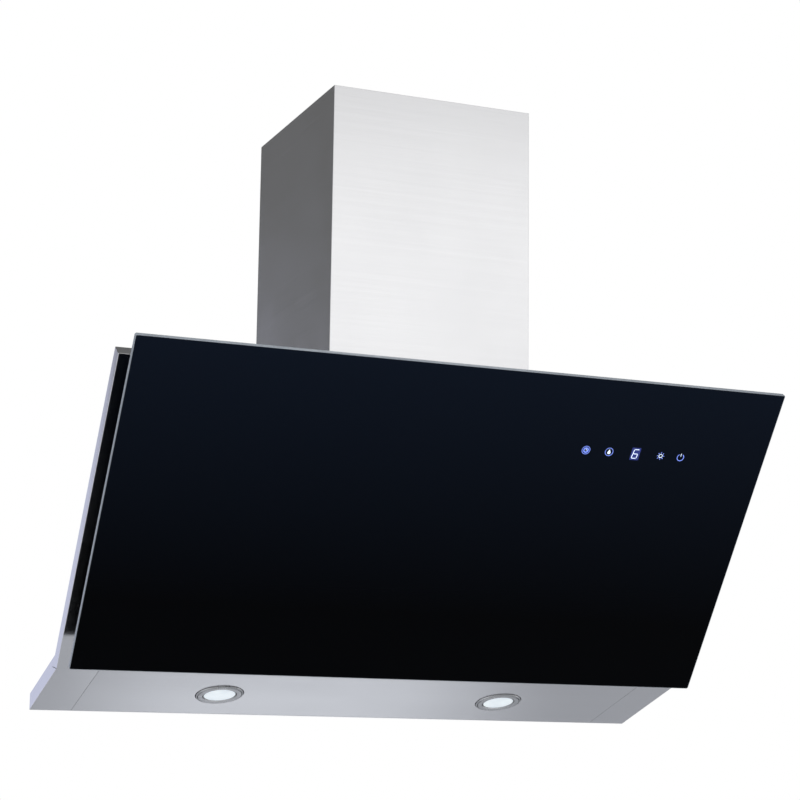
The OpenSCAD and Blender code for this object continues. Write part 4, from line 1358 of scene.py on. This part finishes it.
class HOOD_OT_hinges(bpy.types.Operator):
    """Hinge brackets, pins and arms, magnet catches and rubber buffers"""

    bl_idname = "hood.hinges"
    bl_label = "Hinges and Catches"

    def execute(self, context):
        for label in ("left", "right"):
            rounded_node(f"hinge_bracket_{label}", f"hinge_ear_{label}", HOOD, "galvanised",
                         0.3 * MM)
            rounded_node(f"hinge_arm_{label}", f"hinge_leaf_{label}", DOOR, "frame_paint",
                         0.5 * MM)
        rounded_nodes(HOOD, (
            ("hinge_pins", "headed_pins", "bright_steel", 0.4),
            ("catch_magnets", "magnet_catches", "dark_plastic", 0.6),
            ("bumpers", "door_buffers", "rubber", 0.6),
        ))
        return {"FINISHED"}


class HOOD_OT_fasteners(bpy.types.Operator):
    """Pan-head screws that hold the hood together"""

    bl_idname = "hood.fasteners"
    bl_label = "Screws"

    def execute(self, context):
        rounded_node("screws", "pan_screws", HOOD, "bright_steel", 0.25 * MM)
        return {"FINISHED"}


# ---------- studio ----------

KEY_PLACE, KEY_SIZE = (-1.9, -2.8, 2.4), (3.0, 2.2)
FRONT_PLACE, FRONT_SIZE, FRONT_SHARE = (0.95, -3.2, 0.92), (1.5, 1.2), 0.050
POOL_PLACE, POOL_RISE, POOL_SHARE = (0.42, 1.12), 1.6, 1.05
FLOOR_HALF = 14.0
WHITE, DARK = (1.0, 1.0, 1.0), (0.16, 0.16, 0.16)


class HOOD_OT_studio(bpy.types.Operator):
    """Pale floor, soft lights and the camera"""

    bl_idname = "hood.studio"
    bl_label = "Studio"

    def execute(self, context):
        studio = context.scene.hood_studio
        context.scene.view_settings.view_transform = "Standard"
        floor = CAD_BOX[0].z - studio.floor_drop
        self.floor(floor)
        self.surroundings(context.scene)
        power = studio.key_power
        self.soft_light("key_light", KEY_PLACE, KEY_SIZE, power, mirrored=False)
        self.soft_light("front_light", FRONT_PLACE, FRONT_SIZE, power * FRONT_SHARE, mirrored=True)
        self.pool((*POOL_PLACE, floor + POOL_RISE), power * POOL_SHARE)
        self.camera(context.scene, studio)
        return {"FINISHED"}

    def floor(self, height):
        """A pale floor that fades into the white surroundings far away."""
        bm = bmesh.new()
        bmesh.ops.create_grid(bm, x_segments=1, y_segments=1, size=FLOOR_HALF)
        bmesh.ops.translate(bm, vec=(0, 0, height), verts=bm.verts)
        mesh = bpy.data.meshes.new("floor")
        bm.to_mesh(mesh)
        bm.free()
        finish = Finish("pale_floor", Roughness=0.9, Emission_Strength=1.0)
        tone = finish.effect("patches", Scale=1.5)
        finish.link(finish.blended(tone, (0.62, 0.64, 0.68), (0.65, 0.67, 0.71)), "Base Color")
        reach = add(finish.tree, "ShaderNodeVectorMath", operation="LENGTH")
        finish.tree.links.new(finish.vector, reach.inputs[0])
        far = spread(finish.tree, reach.outputs["Value"], 2.2, 7.0)
        finish.link(finish.blended(far, (0.0, 0.0, 0.0), (0.95, 0.95, 0.96)), "Emission Color")
        self.open_below(finish)
        mesh.materials.append(finish.material)
        plane = bpy.data.objects.new("floor", mesh)
        bpy.context.scene.collection.objects.link(plane)

    def open_below(self, finish):
        """Lets the hood be seen from under the floor, which is solid only from above."""
        tree = finish.tree
        side = add(tree, "ShaderNodeNewGeometry")
        clear = add(tree, "ShaderNodeBsdfTransparent")
        either = add(tree, "ShaderNodeMixShader")
        tree.links.new(side.outputs["Backfacing"], either.inputs[0])
        tree.links.new(finish.shader.outputs["BSDF"], either.inputs[1])
        tree.links.new(clear.outputs["BSDF"], either.inputs[2])
        tree.links.new(either.outputs["Shader"], tree.nodes["Material Output"].inputs["Surface"])

    def surroundings(self, scene):
        """White in front, a cool low band behind, higher to the right, and dark above it."""
        world = bpy.data.worlds.new("studio")
        scene.world = world
        world.use_nodes = True
        tree = world.node_tree
        place = add(tree, "ShaderNodeTexCoord")
        parts = add(tree, "ShaderNodeSeparateXYZ")
        tree.links.new(place.outputs["Generated"], parts.inputs["Vector"])
        behind = spread(tree, parts.outputs["Y"], 0.0, 0.45)
        tall = spread(tree, parts.outputs["X"], -0.27, -0.225, 0.0, 0.12)
        high = spread(tree, combine(tree, "SUBTRACT", parts.outputs["Z"], tall), 0.09, 0.14)
        cool = blended(tree, behind, (0.86, 0.86, 0.87), (0.68, 0.71, 0.90))
        light = blended(tree, combine(tree, "MULTIPLY", behind, high), cool, DARK)
        seen = add(tree, "ShaderNodeLightPath")
        plain = blended(tree, seen.outputs["Is Camera Ray"], light, WHITE)
        tree.links.new(plain, tree.nodes["Background"].inputs["Color"])

    def light(self, name, kind, spot, power, **settings):
        """A light of any kind; returns its object."""
        data = bpy.data.lights.new(name, kind)
        data.energy = power
        for key, value in settings.items():
            setattr(data, key, value)
        lamp = bpy.data.objects.new(name, data)
        bpy.context.scene.collection.objects.link(lamp)
        lamp.location = spot
        return lamp

    def soft_light(self, name, spot, size, power, mirrored):
        """A large soft light turned towards the middle of the hood, mirrored in metal or not."""
        lamp = self.light(name, "AREA", spot, power, shape="RECTANGLE",
                          size=size[0], size_y=size[1])
        aim = (CAD_BOX[0] + CAD_BOX[1]) / 2
        lamp.rotation_euler = (aim - Vector(spot)).to_track_quat("-Z", "Y").to_euler()
        lamp.visible_glossy = mirrored

    def pool(self, spot, power):
        """A soft pool of light on the floor behind, which the lower wing mirrors."""
        lamp = self.light("pool_light", "SPOT", spot, power, spot_size=math.radians(42),
                          spot_blend=1.0, shadow_soft_size=0.05)
        lamp.visible_camera = False
        lamp.visible_glossy = False

    def camera(self, scene, studio):
        """The camera, turned to the right, looking up and rolled about its view."""
        data = bpy.data.cameras.new("camera")
        data.sensor_width = 36.0
        data.lens = studio.lens
        camera = bpy.data.objects.new("camera", data)
        scene.collection.objects.link(camera)
        turn, rise, roll = studio.camera_turn, studio.camera_rise, studio.camera_roll
        ahead = Vector((math.sin(turn) * math.cos(rise), math.cos(turn) * math.cos(rise),
                        math.sin(rise)))
        right = Vector((math.cos(turn), -math.sin(turn), 0))
        up = right.cross(ahead)
        side = math.cos(roll) * right + math.sin(roll) * up
        top = math.cos(roll) * up - math.sin(roll) * right
        rows = Matrix((side, top, -ahead)).transposed().to_4x4()
        camera.matrix_world = Matrix.Translation(studio.camera_place) @ rows
        scene.camera = camera


# ---------- panel and registration ----------

OPERATORS = (
    HOOD_OT_studio,
    HOOD_OT_body,
    HOOD_OT_chimney,
    HOOD_OT_glass,
    HOOD_OT_touch_keys,
    HOOD_OT_lamps,
    HOOD_OT_filters,
    HOOD_OT_motor_box,
    HOOD_OT_outlet,
    HOOD_OT_blower,
    HOOD_OT_electrics,
    HOOD_OT_hinges,
    HOOD_OT_fasteners,
)


class HOOD_PT_range_hood(bpy.types.Panel):
    """Lists the hood's sizes, colours and operators"""

    bl_label = "Range Hood"
    bl_idname = "HOOD_PT_range_hood"
    bl_space_type = "VIEW_3D"
    bl_region_type = "UI"
    bl_category = "Range Hood"

    def draw(self, context):
        layout = self.layout
        for name, group in GROUPS.items():
            held = getattr(context.scene, name)
            part = layout.box()
            part.label(text=group.__doc__)
            for entry in group.__annotations__:
                part.prop(held, entry)
        for operator in OPERATORS:
            layout.operator(operator.bl_idname)


def register():
    for group in GROUPS.values():
        bpy.utils.register_class(group)
    for name, group in GROUPS.items():
        setattr(bpy.types.Scene, name, PointerProperty(type=group))
    for operator in OPERATORS:
        bpy.utils.register_class(operator)
    bpy.utils.register_class(HOOD_PT_range_hood)


def unregister():
    bpy.utils.unregister_class(HOOD_PT_range_hood)
    for operator in reversed(OPERATORS):
        bpy.utils.unregister_class(operator)
    for name in GROUPS:
        delattr(bpy.types.Scene, name)
    for group in reversed(list(GROUPS.values())):
        bpy.utils.unregister_class(group)


def main():
    register()
    make_shader_groups()
    make_finishes(bpy.context.scene.hood_colours)
    for operator in OPERATORS:
        family, name = operator.bl_idname.split(".")
        getattr(getattr(bpy.ops, family), name)()


if __name__ == "__main__":
    main()
